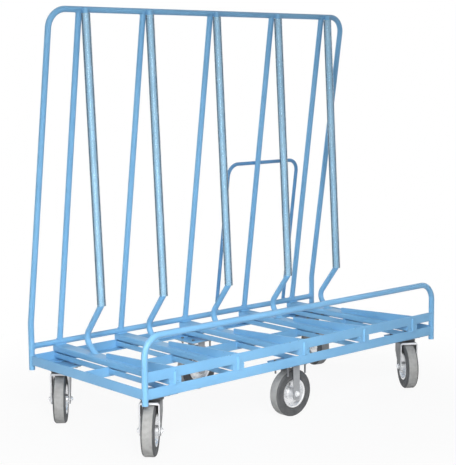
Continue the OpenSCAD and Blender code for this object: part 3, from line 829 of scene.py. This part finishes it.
def sleeve_material():
    """Clear plastic tube, a little milky, under a glossy skin. It hardly bends light, and its blue-grey wall
    darkens what is seen through much of it, so that the tube's rims look deep. Shadow rays pass straight
    through to the leg inside."""
    material, tree, shader = new_material("clear_sleeve")
    tint = clouded(tree, 9.0, (0.78, 0.91, 0.97), (0.86, 0.95, 0.99))
    feed(tree, shader, Base_Color=tint, Transmission_Weight=0.92, IOR=1.06, Coat_Weight=1.0,
         Coat_Roughness=0.12)
    uneven_gloss(tree, shader, scale=20.0, low=0.06, high=0.10)
    rippled(tree, shader, scale=30.0, grit=0.0, strength=0.03, depth=0.0006)
    shadow = add(tree, "LightPath").outputs["Is Shadow Ray"]
    clear = add(tree, "BsdfTransparent")
    mix_surface(tree, shadow, shader.outputs["BSDF"], clear.outputs["BSDF"])
    wall = add(tree, "VolumeAbsorption", Color=(0.16, 0.38, 0.50), Density=178.0)
    feed(tree, tree.nodes["Material Output"], Volume=wall.outputs["Volume"])
    return material


def plastic_material(name, light, dark):
    """Moulded plastic: two close tones and a fine matt grain."""
    material, tree, shader = new_material(name)
    feed(tree, shader, Base_Color=clouded(tree, 40.0, dark, light))
    uneven_gloss(tree, shader, scale=60.0, low=0.45, high=0.62)
    rippled(tree, shader, scale=700.0, grit=0.6, strength=0.12, depth=0.0004)
    return material


PAINT = paint_material("blue_enamel", (0.180, 0.410, 0.650), (0.155, 0.370, 0.610))
GRAB_PAINT = paint_material("dark_blue_enamel", (0.110, 0.290, 0.520), (0.090, 0.250, 0.470))
ZINC = zinc_material("zinc_plate", (0.38, 0.39, 0.40), (0.28, 0.29, 0.31), 0.30, 0.46, 0.55)
# Darker copy of the zinc for the swivel forks' sheet, lip and head: painted shade.
SHADED_FORK_ZINC = zinc_material("fork_zinc", (0.17, 0.175, 0.18), (0.10, 0.105, 0.11), 0.32, 0.48, 0.35)
RIM_ZINC = zinc_material("rim_zinc", (0.90, 0.91, 0.92), (0.72, 0.73, 0.75), 0.22, 0.38)
# Darker copy of the bolt steel for the caster bolts under the deck: painted shade.
SHADED_BOLT_STEEL = zinc_material("dull_steel", (0.34, 0.34, 0.35), (0.22, 0.22, 0.23), 0.34, 0.50)
BOLT_ZINC = zinc_material("bolt_zinc", (0.88, 0.89, 0.90), (0.70, 0.71, 0.73), 0.20, 0.36, 0.45)
RACE_STEEL = zinc_material("greased_steel", (0.52, 0.52, 0.53), (0.34, 0.34, 0.35), 0.22, 0.40)
BUSH_BRASS = zinc_material("bush_brass", (0.72, 0.54, 0.28), (0.55, 0.40, 0.20), 0.25, 0.42)
RUBBER = tyre_material()
CLEAR = sleeve_material()
# Pale film inside the sleeves: a painted highlight on the sleeves' middle.
HIGHLIGHT_FILM = plastic_material("sleeve_film", (0.95, 0.95, 0.95), (0.90, 0.91, 0.92))
PLUG = plastic_material("plug_plastic", (0.36, 0.52, 0.70), (0.28, 0.43, 0.60))


def make_sills():
    """Four angle irons between the posts and a centre beam, each with its flange inwards at the bottom.
    Irons that cross lie on three levels, a hair apart, and are thinner by it."""
    end_x = POST_X - POST_IN
    end_y = POST_Y - POST_IN
    reach = FACE_X - SILL_T
    irons = [("front_sill", 0, (-end_x, -FACE_Y), (end_x, -FACE_Y), Y),
             ("rear_sill", 0, (-end_x, FACE_Y), (end_x, FACE_Y), -Y),
             ("left_sill", 1, (-FACE_X, -end_y), (-FACE_X, end_y), X),
             ("right_sill", 1, (FACE_X, -end_y), (FACE_X, end_y), -X),
             ("centre_beam", 2, (-reach, -SILL_T / 2), (reach, -SILL_T / 2), Y)]
    for node, number, start, end, inward in irons:
        lift = number * SILL_LIFT
        z = SILL_Z + lift
        iron = angle_iron((*start, z), (*end, z), inward, SILL_H - lift, SILL_H, SILL_T - 2 * lift)
        painted(node + "_iron", [iron], node)


def make_deck():
    """Flat tube slats with closed ends, angle irons under them, tapered bearers and the lip."""
    low = cross_low[2]
    irons = [angle_iron((x + WEB_IN, sy * SILL_T / 2, low), (x + WEB_IN, sy * (FACE_Y - SILL_T), low), X,
                        CROSS_H, CROSS_W, CROSS_T) for x in LEG_XS for sy in SIDES]
    painted("cross_irons", irons, "cross_members")
    half = SLAT_W / 2
    flat = rectangle(-half, SLAT_Z, half, DECK_Z)
    for number, x in enumerate(LEG_XS, 1):
        slat = bar((x, FACE_Y, 0), (x, -FACE_Y, 0), X, flat, SLAT_ROUND)
        painted(f"slat_tube_{number}", [slat], f"deck_slat_{number}")
    front_y, back_y = bearer_low[1], bearer_high[1]
    taper = [(front_y, DECK_Z), (back_y, DECK_Z), (back_y, BEARER_BACK_Z), (front_y, bearer_high[2])]
    half = BEARER_T / 2
    bearers = [bar((x - half, 0, 0), (x + half, 0, 0), Y, taper, BEARER_ROUND) for x in LEG_XS]
    painted("bearer_plates", bearers, "tapered_bearers")
    end_x = POST_X - POST_IN
    flat = rectangle(-FACE_Y, DECK_Z, LIP_T - FACE_Y, lip_high[2])
    painted("lip_flat", [bar((-end_x, 0, 0), (end_x, 0, 0), Y, flat, LIP_ROUND)], "front_lip")


def behind_leg(x, z):
    """Point of the grab hoop's axis: on the rear legs' plane at a height, moved back square to it."""
    y = POST_Y + LEG_RUN[1] * (z - RAIL_Z) / LEG_RUN[2]
    return np.array([x, y + GRAB_OFF * LEG_DIR[2], z - GRAB_OFF * LEG_DIR[1]])


def make_tubes():
    """The back arch, front hoop, rail, legs and grab hoop."""
    arch = [(-POST_X, POST_Y, POST_Z), (-POST_X, POST_Y, LEAN_Z), (-POST_X, BAR_Y, BAR_Z),
            (POST_X, BAR_Y, BAR_Z), (POST_X, POST_Y, LEAN_Z), (POST_X, POST_Y, POST_Z)]
    painted("arch_tube", [tube(arch, [0, LEAN_R, BEND_R, BEND_R, LEAN_R, 0], Y)], "back_arch")
    hoop = [(-POST_X, -POST_Y, POST_Z), (-POST_X, -POST_Y, HOOP_Z), (POST_X, -POST_Y, HOOP_Z),
            (POST_X, -POST_Y, POST_Z)]
    painted("hoop_tube", [tube(hoop, [0, BEND_R, BEND_R, 0], Y)], "front_hoop")
    painted("rail_tube", [rod([(-POST_X, POST_Y, RAIL_Z), (POST_X, POST_Y, RAIL_Z)], 0, Y)], "rear_rail")
    legs = [rod([(x, POST_Y, RAIL_Z), (x, BAR_Y, BAR_Z)], 0, X) for x in LEG_XS]
    painted("rear_leg_tubes", legs, "rear_legs")
    kinked = np.stack([LEG_TOP, LEG_KINK, LEG_HEEL, LEG_TOE + TOE_SUNK * TOE_DIR])
    for number, x in enumerate(LEG_XS, 1):
        leg = rod(kinked + (x + LEG_STEP) * X, [0, KINK_R, HEEL_R, 0], X)
        painted(f"kinked_leg_{number}", [leg], f"front_leg_{number}")
    foot = RAIL_Z - TUBE_R
    left, right = GRAB_XS
    ends = [(left, foot), (left, GRAB_TOP), (right, GRAB_TOP), (right, foot)]
    grab = tube([behind_leg(x, z) for x, z in ends], [0, GRAB_BEND_R, GRAB_BEND_R, 0], Y, GRAB_R)
    piece("grab_tube", [grab], GRAB_PAINT, "cart", "grab_paint", "rear_grab_hoop")


def make_sleeves():
    """Clear tubes over the legs' straights, each with a pale film on the leg inside it, a painted highlight
    that brightens the sleeve's middle. The outer skin swells by the wave times sin(slow s) sin(fast s +
    number) at the share s of its length."""
    sleeves, highlight_linings = [], []
    share = np.linspace(0, 1, SLEEVE_STATIONS)
    start = LEG_TOP + SLEEVE_BARE * SLEEVE_DIR
    end = LEG_KINK + SLEEVE_OVER * SLEEVE_DIR
    for number, x in enumerate(LEG_XS):
        path = start + share[:, None] * (end - start) + (x + LEG_STEP) * X
        wave = SLEEVE_WAVE * np.sin(SLEEVE_SLOW * share) * np.sin(SLEEVE_FAST * share + number)
        sleeves.append(looped(pipe(path, SLEEVE_R + SLEEVE_WALL + wave, SLEEVE_R, X)))
        highlight_linings.append(looped(pipe(path, FILM_R, FILM_R - FILM_WALL, X)))
    piece("sleeve_tubes", sleeves, CLEAR, "cart", "clear_sleeve", "leg_sleeves")
    # The pale linings paint the sleeves' bright middle as a highlight.
    piece("sleeve_linings", highlight_linings, HIGHLIGHT_FILM, "cart", "clear_sleeve")


def make_plugs():
    """Plugs in the posts' lower ends: a stem inside the tube and a cap with a round edge."""
    profile = section([(0, PLUG_STEM), (PLUG_R, PLUG_STEM), (PLUG_R, 0), (TUBE_R, 0), (TUBE_R, -PLUG_CAP),
                       (0, -PLUG_CAP)], PLUG_ROUNDS)
    plug = revolved(profile, TUBE_SIDES)
    plugs = [patch(plug + (sx * POST_X, sy * POST_Y, POST_Z), wrap_rows=True) for sx, sy in CORNERS]
    piece("post_plugs", plugs, PLUG, "cart", "plug_plastic", "tube_plugs")


def slat_boss(x):
    """Upright round boss that ties a slat's end to the lip: a domed bar, half sunk in the face."""
    profile = section([(0, BOSS_LOW), (BOSS_R, BOSS_LOW), (BOSS_R, BOSS_HIGH), (0, BOSS_HIGH)],
                      BOSS_R * BOSS_ROUND_SHARES)
    return patch(revolved(profile, SMALL_STEPS) + (x, -FACE_Y, 0), wrap_rows=True)


def weld_leg(x):
    """Beads of one rear leg and of the front leg beside it."""
    middle = np.array([x, (POST_Y + BAR_Y) / 2, (RAIL_Z + BAR_Z) / 2])
    yield bead_on_bar(middle, LEG_DIR, np.array([0.0, BAR_Y, BAR_Z]), X)
    yield bead_on_bar(middle, -LEG_DIR, np.array([0.0, POST_Y, RAIL_Z]), X)
    yield bead_on_floor(LEG_TOE - TOE_BACK * TOE_DIR + (x + LEG_STEP) * X, TOE_DIR, DECK_Z)
    touch = np.array([x + LEG_STEP, BAR_Y - TUBE_R, BAR_Z])
    for flip in FLIP_X:
        yield bead_line(*(touch + flip * LAP_SEAM), "lap")


def weld_slat(x):
    """Beads and boss of one slat: at its ends, by the rail, along its bearer and on its cross irons."""
    yield bead_across(x, -FACE_Y, SLAT_Z, "slat")
    yield bead_across(x, FACE_Y, SLAT_Z, "slat")
    yield bead_across(x, LIP_T - FACE_Y, DECK_Z, "lip")
    yield slat_boss(x)
    for side in SIDES:
        yield bead_up(x + side * BOSS_R, -FACE_Y, SLAT_Z, BOSS_SEAM_TOP, "slat")
        yield bead_across(x, POST_Y + side * RAIL_SEAM_Y, DECK_Z + SEAM_IN, "rail", RAIL_SEAM)
        edge = x + side * BEARER_T / 2
        for y in BEARER_SEAM_YS:
            yield bead_line((edge, y, DECK_Z), (edge, y + BEARER_SEAM, DECK_Z), "slat")
        for y in (FACE_Y - SILL_T, SILL_T / 2):
            yield bead_up(x + WEB_IN, side * y, cross_low[2] + SEAM_IN, cross_high[2], "web")


def weld_post(sx, sy):
    """Beads of one post: on its two sills, and on the lip or the rail."""
    x = sx * (POST_X - POST_SEAM_IN)
    y = sy * (POST_Y - POST_SEAM_IN)
    low, high = SILL_Z + SEAM_IN, SILL_Z + SILL_H - SEAM_IN
    yield bead_up(x, sy * FACE_Y, low, high, "post")
    yield bead_up(sx * FACE_X, y, low, high, "post")
    if sy < 0:
        yield bead_up(x, -FACE_Y, DECK_Z + SEAM_IN, lip_high[2] - SEAM_IN, "post")
    else:
        rail_end = np.array([sx * (POST_X - RAIL_BACK), POST_Y, RAIL_Z])
        yield bead_on_bar(rail_end, sx * X, np.array([sx * POST_X, POST_Y, 0.0]), Z)


def frame_welds():
    """Every weld bead and slat boss of the frame."""
    for x in LEG_XS:
        yield from weld_leg(x)
        yield from weld_slat(x)
    for sx, sy in CORNERS:
        yield from weld_post(sx, sy)
    for x, y in CASTERS:
        inner = np.sign(y) * (FACE_Y - SILL_H)
        for side in SIDES:
            start, end = x + side * MOUNT_SEAM
            yield bead_line((start, inner, SILL_Z), (end, inner, SILL_Z), "mount")
    for x in GRAB_XS:
        for flip in FLIP_X:
            yield bead_line(*(behind_leg(x, RAIL_Z) + flip * FOOT_SEAM), "grab")
    for flip in FLIP_Z:
        yield bead_line(*(behind_leg(LEG_XS[3], GRAB_TOP) + flip * TIE_SEAM), "grab")


def caster_plate(x, y):
    """A caster's own plate, with rounded corners, about a point."""
    half_x, half_y = PLATE_L / 2, PLATE_W / 2
    points = rectangle(x - half_x, y - half_y, x + half_x, y + half_y)
    return slab(points, PLATE_ROUND, PLATE_Z, MOUNT_Z, PLATE_EASE)


def make_plates():
    """Mounting plates under the sills and the swivel casters' own plates."""
    mounts = []
    half_x = PLATE_L / 2 + MOUNT_EDGE
    near_y = KING_Y - PLATE_W / 2 - MOUNT_EDGE
    for x, y in CASTERS:
        low_x = x - half_x if x >= 0 else mount_low[0]
        high_x = x + half_x if x <= 0 else mount_high[0]
        low_y, high_y = sorted([np.sign(y) * near_y, np.sign(y) * mount_high[1]])
        points = rectangle(low_x, low_y, high_x, high_y)
        mounts.append(slab(points, MOUNT_ROUND, MOUNT_Z, SILL_Z, MOUNT_EASE))
    painted("caster_mounts", mounts, "mounting_plates")
    plates = [caster_plate(x, y) for x, y, _ in KING.values()]
    piece("swivel_plates", plates, ZINC, "cart", "zinc", "caster_top_plates")


def shank(length, threaded):
    """Bolt shank up from the origin; its last part is a screw thread."""
    screw = thread(BOLT_R, threaded) + (length - threaded) * Z
    return np.concatenate([cylinder(BOLT_R, 0.0, length - threaded, BOLT_SIDES), screw])


def make_bolts():
    """Caster bolts with washers: nuts on top on swivel casters, nuts and long tails below on fixed ones."""
    bolts = []
    head = hex_head(BOLT_FLATS, BOLT_HEAD)
    nut = hex_head(BOLT_FLATS, NUT_H)
    ring = washer(BOLT_WASHER_R, BOLT_R, BOLT_WASHER_T)
    grip = SILL_Z - PLATE_Z + NUT_H
    long_stem = shank(grip + HANG_TAIL, HANG_TAIL)
    short_stem = shank(grip + BOLT_TAIL, BOLT_TAIL + THREAD_IN)
    for x, y in CASTERS:
        for bx, by in CORNERS:
            place = np.array([x + bx * BOLT_X, y + by * BOLT_Y, 0.0])
            low, high = place + PLATE_Z * Z, place + SILL_Z * Z
            ends = (high, low, -Z, long_stem) if x == 0 else (low, high, Z, short_stem)
            head_end, nut_end, run, stem = ends
            bolts += [patch(placed(head, head_end, X, -run), wrap_cols=True),
                      patch(placed(nut, nut_end, X, run), wrap_cols=True),
                      looped(placed(ring, nut_end, X, run)),
                      capped(placed(stem, head_end, X, run))]
    # The caster bolts take the darker steel, painted shade under the deck.
    piece("caster_fasteners", bolts, SHADED_BOLT_STEEL, "cart", "bolt_steel", "caster_bolts")


def folded_sheet(outer, inner, left, right):
    """Sheet bent to a section. Each station joins an outer and an inner point and reaches from left to right
    across them; the ring round a station draws its four edges in by the ease, so that each is rounded."""
    draw = np.minimum(SHEET_EASE, np.clip(right - left, 0, None) / 2)
    inward = SHEET_EASE * unit(inner - outer)
    over, under = outer + inward, inner - inward
    stations = [(left, over), (left + draw, outer), (right - draw, outer), (right, over),
                (right, under), (right - draw, inner), (left + draw, inner), (left, under)]
    return np.stack([np.c_[across, line] for across, line in stations], 1)


def fork_section(top, foot, crown):
    """Outer and inner line of an upturned U in (y, z): up one leg from the foot, over the crown and down."""
    low = top - FORK_SHOULDER
    z = np.linspace(foot, low, FORK_STATIONS)[:-1]
    lines = []
    for half, roof, radius in ((FORK_OUT, top, FORK_BEND_R), (FORK_IN, top - crown, FORK_BEND_R - crown)):
        bend = rounded_line([(half, low), (half, roof), (-half, roof), (-half, low)],
                            [0, radius, radius, 0], steps=FINE_STEPS)
        leg = np.c_[np.full(len(z), half), z]
        lines.append(np.concatenate([leg, bend, leg[::-1] * (-1, 1)]))
    return lines


def make_swivel_fork(name):
    """Swivel fork: a U-shaped sheet whose legs run back to the axle and end in a round toe, a rolled lip, a
    swivel head turned over it, and a raised boss round the axle on each leg."""
    hub = HUB[name]
    base = KING[name] * (1, 1, 0)
    ahead = unit((hub - base) * (1, 1, 0))
    across = np.cross(Z, ahead)
    axle_z = hub[2]
    outer, inner = fork_section(CROWN_TOP, axle_z - TOE_R, CROWN_TOP - CROWN_Z)
    z = outer[:, 1]
    toe = np.sqrt(np.clip(TOE_R ** 2 - np.clip(axle_z - z, 0, TOE_R) ** 2, 0, None))
    slope = np.interp(z, [axle_z, KNEE_Z], [TRAIL - TOE_R, -FORK_HEEL])
    left = np.where(z < axle_z, TRAIL - toe, slope)
    sheet = folded_sheet(outer, inner, left, TRAIL + toe)
    tip = TRAIL + TOE_R
    edge = rectangle(tip - CROWN_LIP_T, CROWN_Z - CROWN_LIP, tip, CROWN_TOP)
    lip, _ = soft_outline(edge, CROWN_LIP_ROUNDS)
    rolled = np.stack([np.insert(lip, 1, side * FORK_IN, axis=1) for side in SIDES])
    foot, top, skirt = CROWN_Z + HEAD_STEP, PLATE_Z - HEAD_GAP, HEAD_R + HEAD_SKIRT
    head = section([(HEAD_BORE, foot), (skirt, foot), (skirt, CROWN_TOP + HEAD_STEP),
                    (HEAD_R, CROWN_TOP + 2 * HEAD_STEP), (HEAD_R, top), (HEAD_BORE, top)], HEAD_ROUNDS)
    boss = section([(AXLE_R, 0), (FORK_BOSS_R, 0), (FORK_BOSS_R - FORK_BOSS_IN, FORK_BOSS_H),
                    (AXLE_R, FORK_BOSS_H)], FORK_BOSS_ROUNDS)
    # Sheet, lip and head take the darker zinc, painted shade; the lip's mark of 1 paints the pale edge
    # highlight over all of it.
    patches = [capped(placed(sheet, base, ahead, Z), EDGE_HIGHLIGHT_MARKS), capped(placed(rolled, base, ahead, Z), 1.0),
               looped(placed(revolved(head), base, ahead, Z))]
    for side in SIDES:
        seat = hub + side * (FORK_OUT - FORK_BOSS_SUNK) * across
        patches.append(looped(placed(revolved(boss, BOSS_STEPS), seat, ahead, side * across)))
    piece("fork_sheet_" + name, patches, SHADED_FORK_ZINC, "caster_" + name, "zinc", "swivel_fork_" + name)


def make_fixed_forks():
    """Fixed forks: a plate and, under it, a U of sheet with straight struts and rounded lower corners."""
    outer, inner = fork_section(PLATE_Z, STRUT_LOW, STRUT_CROWN)
    below = np.clip(STRUT_LOW + STRUT_R - outer[:, 1], 0, STRUT_R)
    half = STRUT_HALF - STRUT_R + np.sqrt(np.clip(STRUT_R ** 2 - below ** 2, 0, None))
    sheet = folded_sheet(outer, inner, -half, half)
    patches = []
    for name in FIXED:
        x, y, _ = HUB[name]
        patches += [caster_plate(x, y), capped(sheet + (x, y, 0))]
    piece("fixed_fork_sheets", patches, ZINC, "cart", "zinc", "fixed_forks")


def axle_bolt(name):
    """Axle bolt: a shank through the hub, with a washer and a domed nut at each end."""
    hub, run = HUB[name], AXLE_DIR[name]
    yield capped(placed(cylinder(AXLE_R, -FORK_OUT, FORK_OUT, SMALL_STEPS), hub, Z, run))
    angle = np.linspace(0, np.pi / 2, FINE_STEPS)
    dome = revolved(np.stack([DOME_R * np.cos(angle), DOME_H * np.sin(angle)], -1), HEX_STEPS)
    for out in (-run, run):
        seat = hub + FORK_OUT * out
        yield patch(placed(hex_head(AXLE_FLATS, AXLE_NUT), seat, Z, out), wrap_cols=True)
        yield looped(placed(washer(AXLE_WASHER_R, AXLE_R, AXLE_WASHER_T), seat, Z, out))
        yield patch(placed(dome, seat + (AXLE_NUT - DOME_SUNK) * out, Z, out), wrap_rows=True)


def make_axles():
    """Axle bolts: one piece on each swivel caster and one for both fixed casters."""
    for name in KING:
        body = "caster_" + name
        piece("axle_bolt_" + name, axle_bolt(name), BOLT_ZINC, body, "bolt_steel", "axle_" + name)
    fixed = [part for name in FIXED for part in axle_bolt(name)]
    piece("fixed_axle_bolts", fixed, BOLT_ZINC, "cart", "bolt_steel", "fixed_axles")


def evenly(line, count):
    """Points spaced evenly along a closed line, by its running length."""
    loop = np.concatenate([line, line[:1]])
    s = run_length(loop)
    at = np.linspace(0, s[-1], count, endpoint=False)
    return np.stack([np.interp(at, s, loop[:, 0]), np.interp(at, s, loop[:, 1])], -1)


def both_faces(half, steps):
    """Closed wheel section from its half: the corners and their mirror images, rounded."""
    r, h, rounding = np.array(half).T
    points = np.c_[np.r_[r, r[::-1]], np.r_[h, -h[::-1]]]
    return rounded_line(points, np.r_[rounding, rounding[::-1]], closed=True, steps=steps)


def tyre_grid():
    """Tyre about its axle: flat tread between round shoulders, sides with a raised ring by the rim and a low
    band; the mark is 1 on the tread."""
    profile = both_faces(TYRE_HALF, FINE_STEPS)
    mark = np.clip((TREAD_HALF - np.abs(profile[:, 1])) / TREAD_FADE, 0, 1) * (profile[:, 0] > TREAD_R)
    return revolved(profile, TYRE_STEPS), mark


def rim_grid():
    """Pressed rim about its axle: hub, web, sloping drum and rolled lip, the same on both faces. Pads stand
    out of the web by their height times a smooth step of 0.5 + steep cos(count a), within a ring of it."""
    profile = evenly(both_faces(RIM_HALF, RIM_ROUND_STEPS), RIM_POINTS)
    grid = revolved(profile, RIM_STEPS)
    a = angles(RIM_STEPS)[:, None]
    r, h = profile.T
    pad = np.clip(0.5 + PAD_STEEP * np.cos(PAD_COUNT * a), 0, 1)
    pad = pad * pad * (3 - 2 * pad)
    ring = np.clip((r - PAD_IN) / PAD_FADE, 0, 1) * np.clip((PAD_OUT - r) / PAD_FADE, 0, 1)
    grid[..., 2] += PAD_H * pad * ring * (np.abs(h) < WEB_HALF) * np.sign(h)
    return grid


def make_wheels():
    """Rims and tyres of the six wheels, each about its own axle."""
    rubber, tread = tyre_grid()
    steel = rim_grid()
    for name, hub in HUB.items():
        body = "wheel_" + name
        tyre = looped(placed(rubber, hub, Z, AXLE_DIR[name]), tread)
        piece("rubber_" + name, [tyre], RUBBER, body, "tyre_rubber", "tyre_" + name)
        rim = looped(placed(steel, hub, Z, AXLE_DIR[name]))
        piece("pressed_rim_" + name, [rim], RIM_ZINC, body, "rim_steel", "rim_" + name)


def dress_nodes():
    """Finishes of the CAD nodes that stay as they are."""
    finishes = {"kingpins": BOLT_ZINC, "swivel_races": RACE_STEEL}
    finishes.update({"bush_" + name: BUSH_BRASS for name in HUB})
    for node, material in finishes.items():
        slots = frame["nodes"][node].data.materials
        slots.clear()
        slots.append(material)


def seen_ray(tree):
    """1 on camera, glossy and transmission rays, 0 on the rays that light the scene."""
    path = add(tree, "LightPath")
    seen = math_node(tree, "MAXIMUM", path.outputs["Is Camera Ray"], path.outputs["Is Glossy Ray"])
    return math_node(tree, "MAXIMUM", seen, path.outputs["Is Transmission Ray"])


def make_world():
    """World that is white where it is seen, and lights the scene at a plain level."""
    world = bpy.data.worlds.new("studio")
    bpy.context.scene.world = world
    world.use_nodes = True
    tree = world.node_tree
    strength = spread(tree, seen_ray(tree), 0.0, 1.0, WORLD_LEVEL, 1.0)
    feed(tree, tree.nodes["Background"], Color=(1.0, 1.0, 1.0), Strength=strength)


def make_floor():
    """Pale round floor that keeps the cart's shadow and fades to white."""
    material, tree, shader = new_material("pale_floor")
    pale = clouded(tree, 1.5, (0.56, 0.56, 0.56), (0.60, 0.60, 0.60))
    feed(tree, shader, Base_Color=pale, Roughness=0.9)
    white = add(tree, "Emission", Color=(1.0, 1.0, 1.0))
    far = add(tree, "VectorMath", Vector=object_place(tree))
    far.operation = "LENGTH"
    fade = spread(tree, far.outputs["Value"], *FLOOR_FADE, FLOOR_WHITE, 1.0)
    factor = math_node(tree, "MULTIPLY", fade, seen_ray(tree))
    mix_surface(tree, factor, shader.outputs["BSDF"], white.outputs["Emission"])
    radii = np.linspace(0, FLOOR_R, FLOOR_RINGS)[:, None]
    disc = polar(radii, angles(FLOOR_SIDES), -FLOOR_DROP)
    shaped("floor", [patch(disc, wrap_cols=True)], material)


def make_lamps():
    """Soft lamps, all but one of them hidden from gloss."""
    for name, place, aim, size, beam, power, mirrored in LAMPS:
        lamp = bpy.data.lights.new(name, "AREA")
        lamp.shape = "ELLIPSE"
        lamp.size, lamp.size_y = size
        lamp.energy = power
        lamp.spread = np.radians(beam)
        obj = new_object(name, lamp)
        obj.visible_glossy = mirrored
        away = unit(np.array(place) - np.array(aim))
        stand(obj, place, unit(np.cross(LAMP_UP, away)), away)


def make_camera():
    """Camera where the photograph was taken from, by its fitted place and directions."""
    camera = bpy.data.cameras.new("camera")
    camera.sensor_fit = "HORIZONTAL"
    camera.sensor_width = CAMERA_SENSOR
    camera.lens = CAMERA_LENS
    ahead = unit(CAMERA_AHEAD)
    up = unit((CAMERA_DOWN @ ahead) * ahead - CAMERA_DOWN)
    obj = new_object("camera", camera)
    stand(obj, CAMERA_PLACE, np.cross(ahead, up), -ahead)
    bpy.context.scene.camera = obj


make_camera()
make_sills()
make_deck()
make_tubes()
make_sleeves()
make_plugs()
painted("frame_welds", frame_welds())
make_plates()
make_bolts()
for caster in KING:
    make_swivel_fork(caster)
make_fixed_forks()
make_axles()
make_wheels()
dress_nodes()
make_world()
make_floor()
make_lamps()
bpy.context.scene.view_settings.view_transform = "Standard"
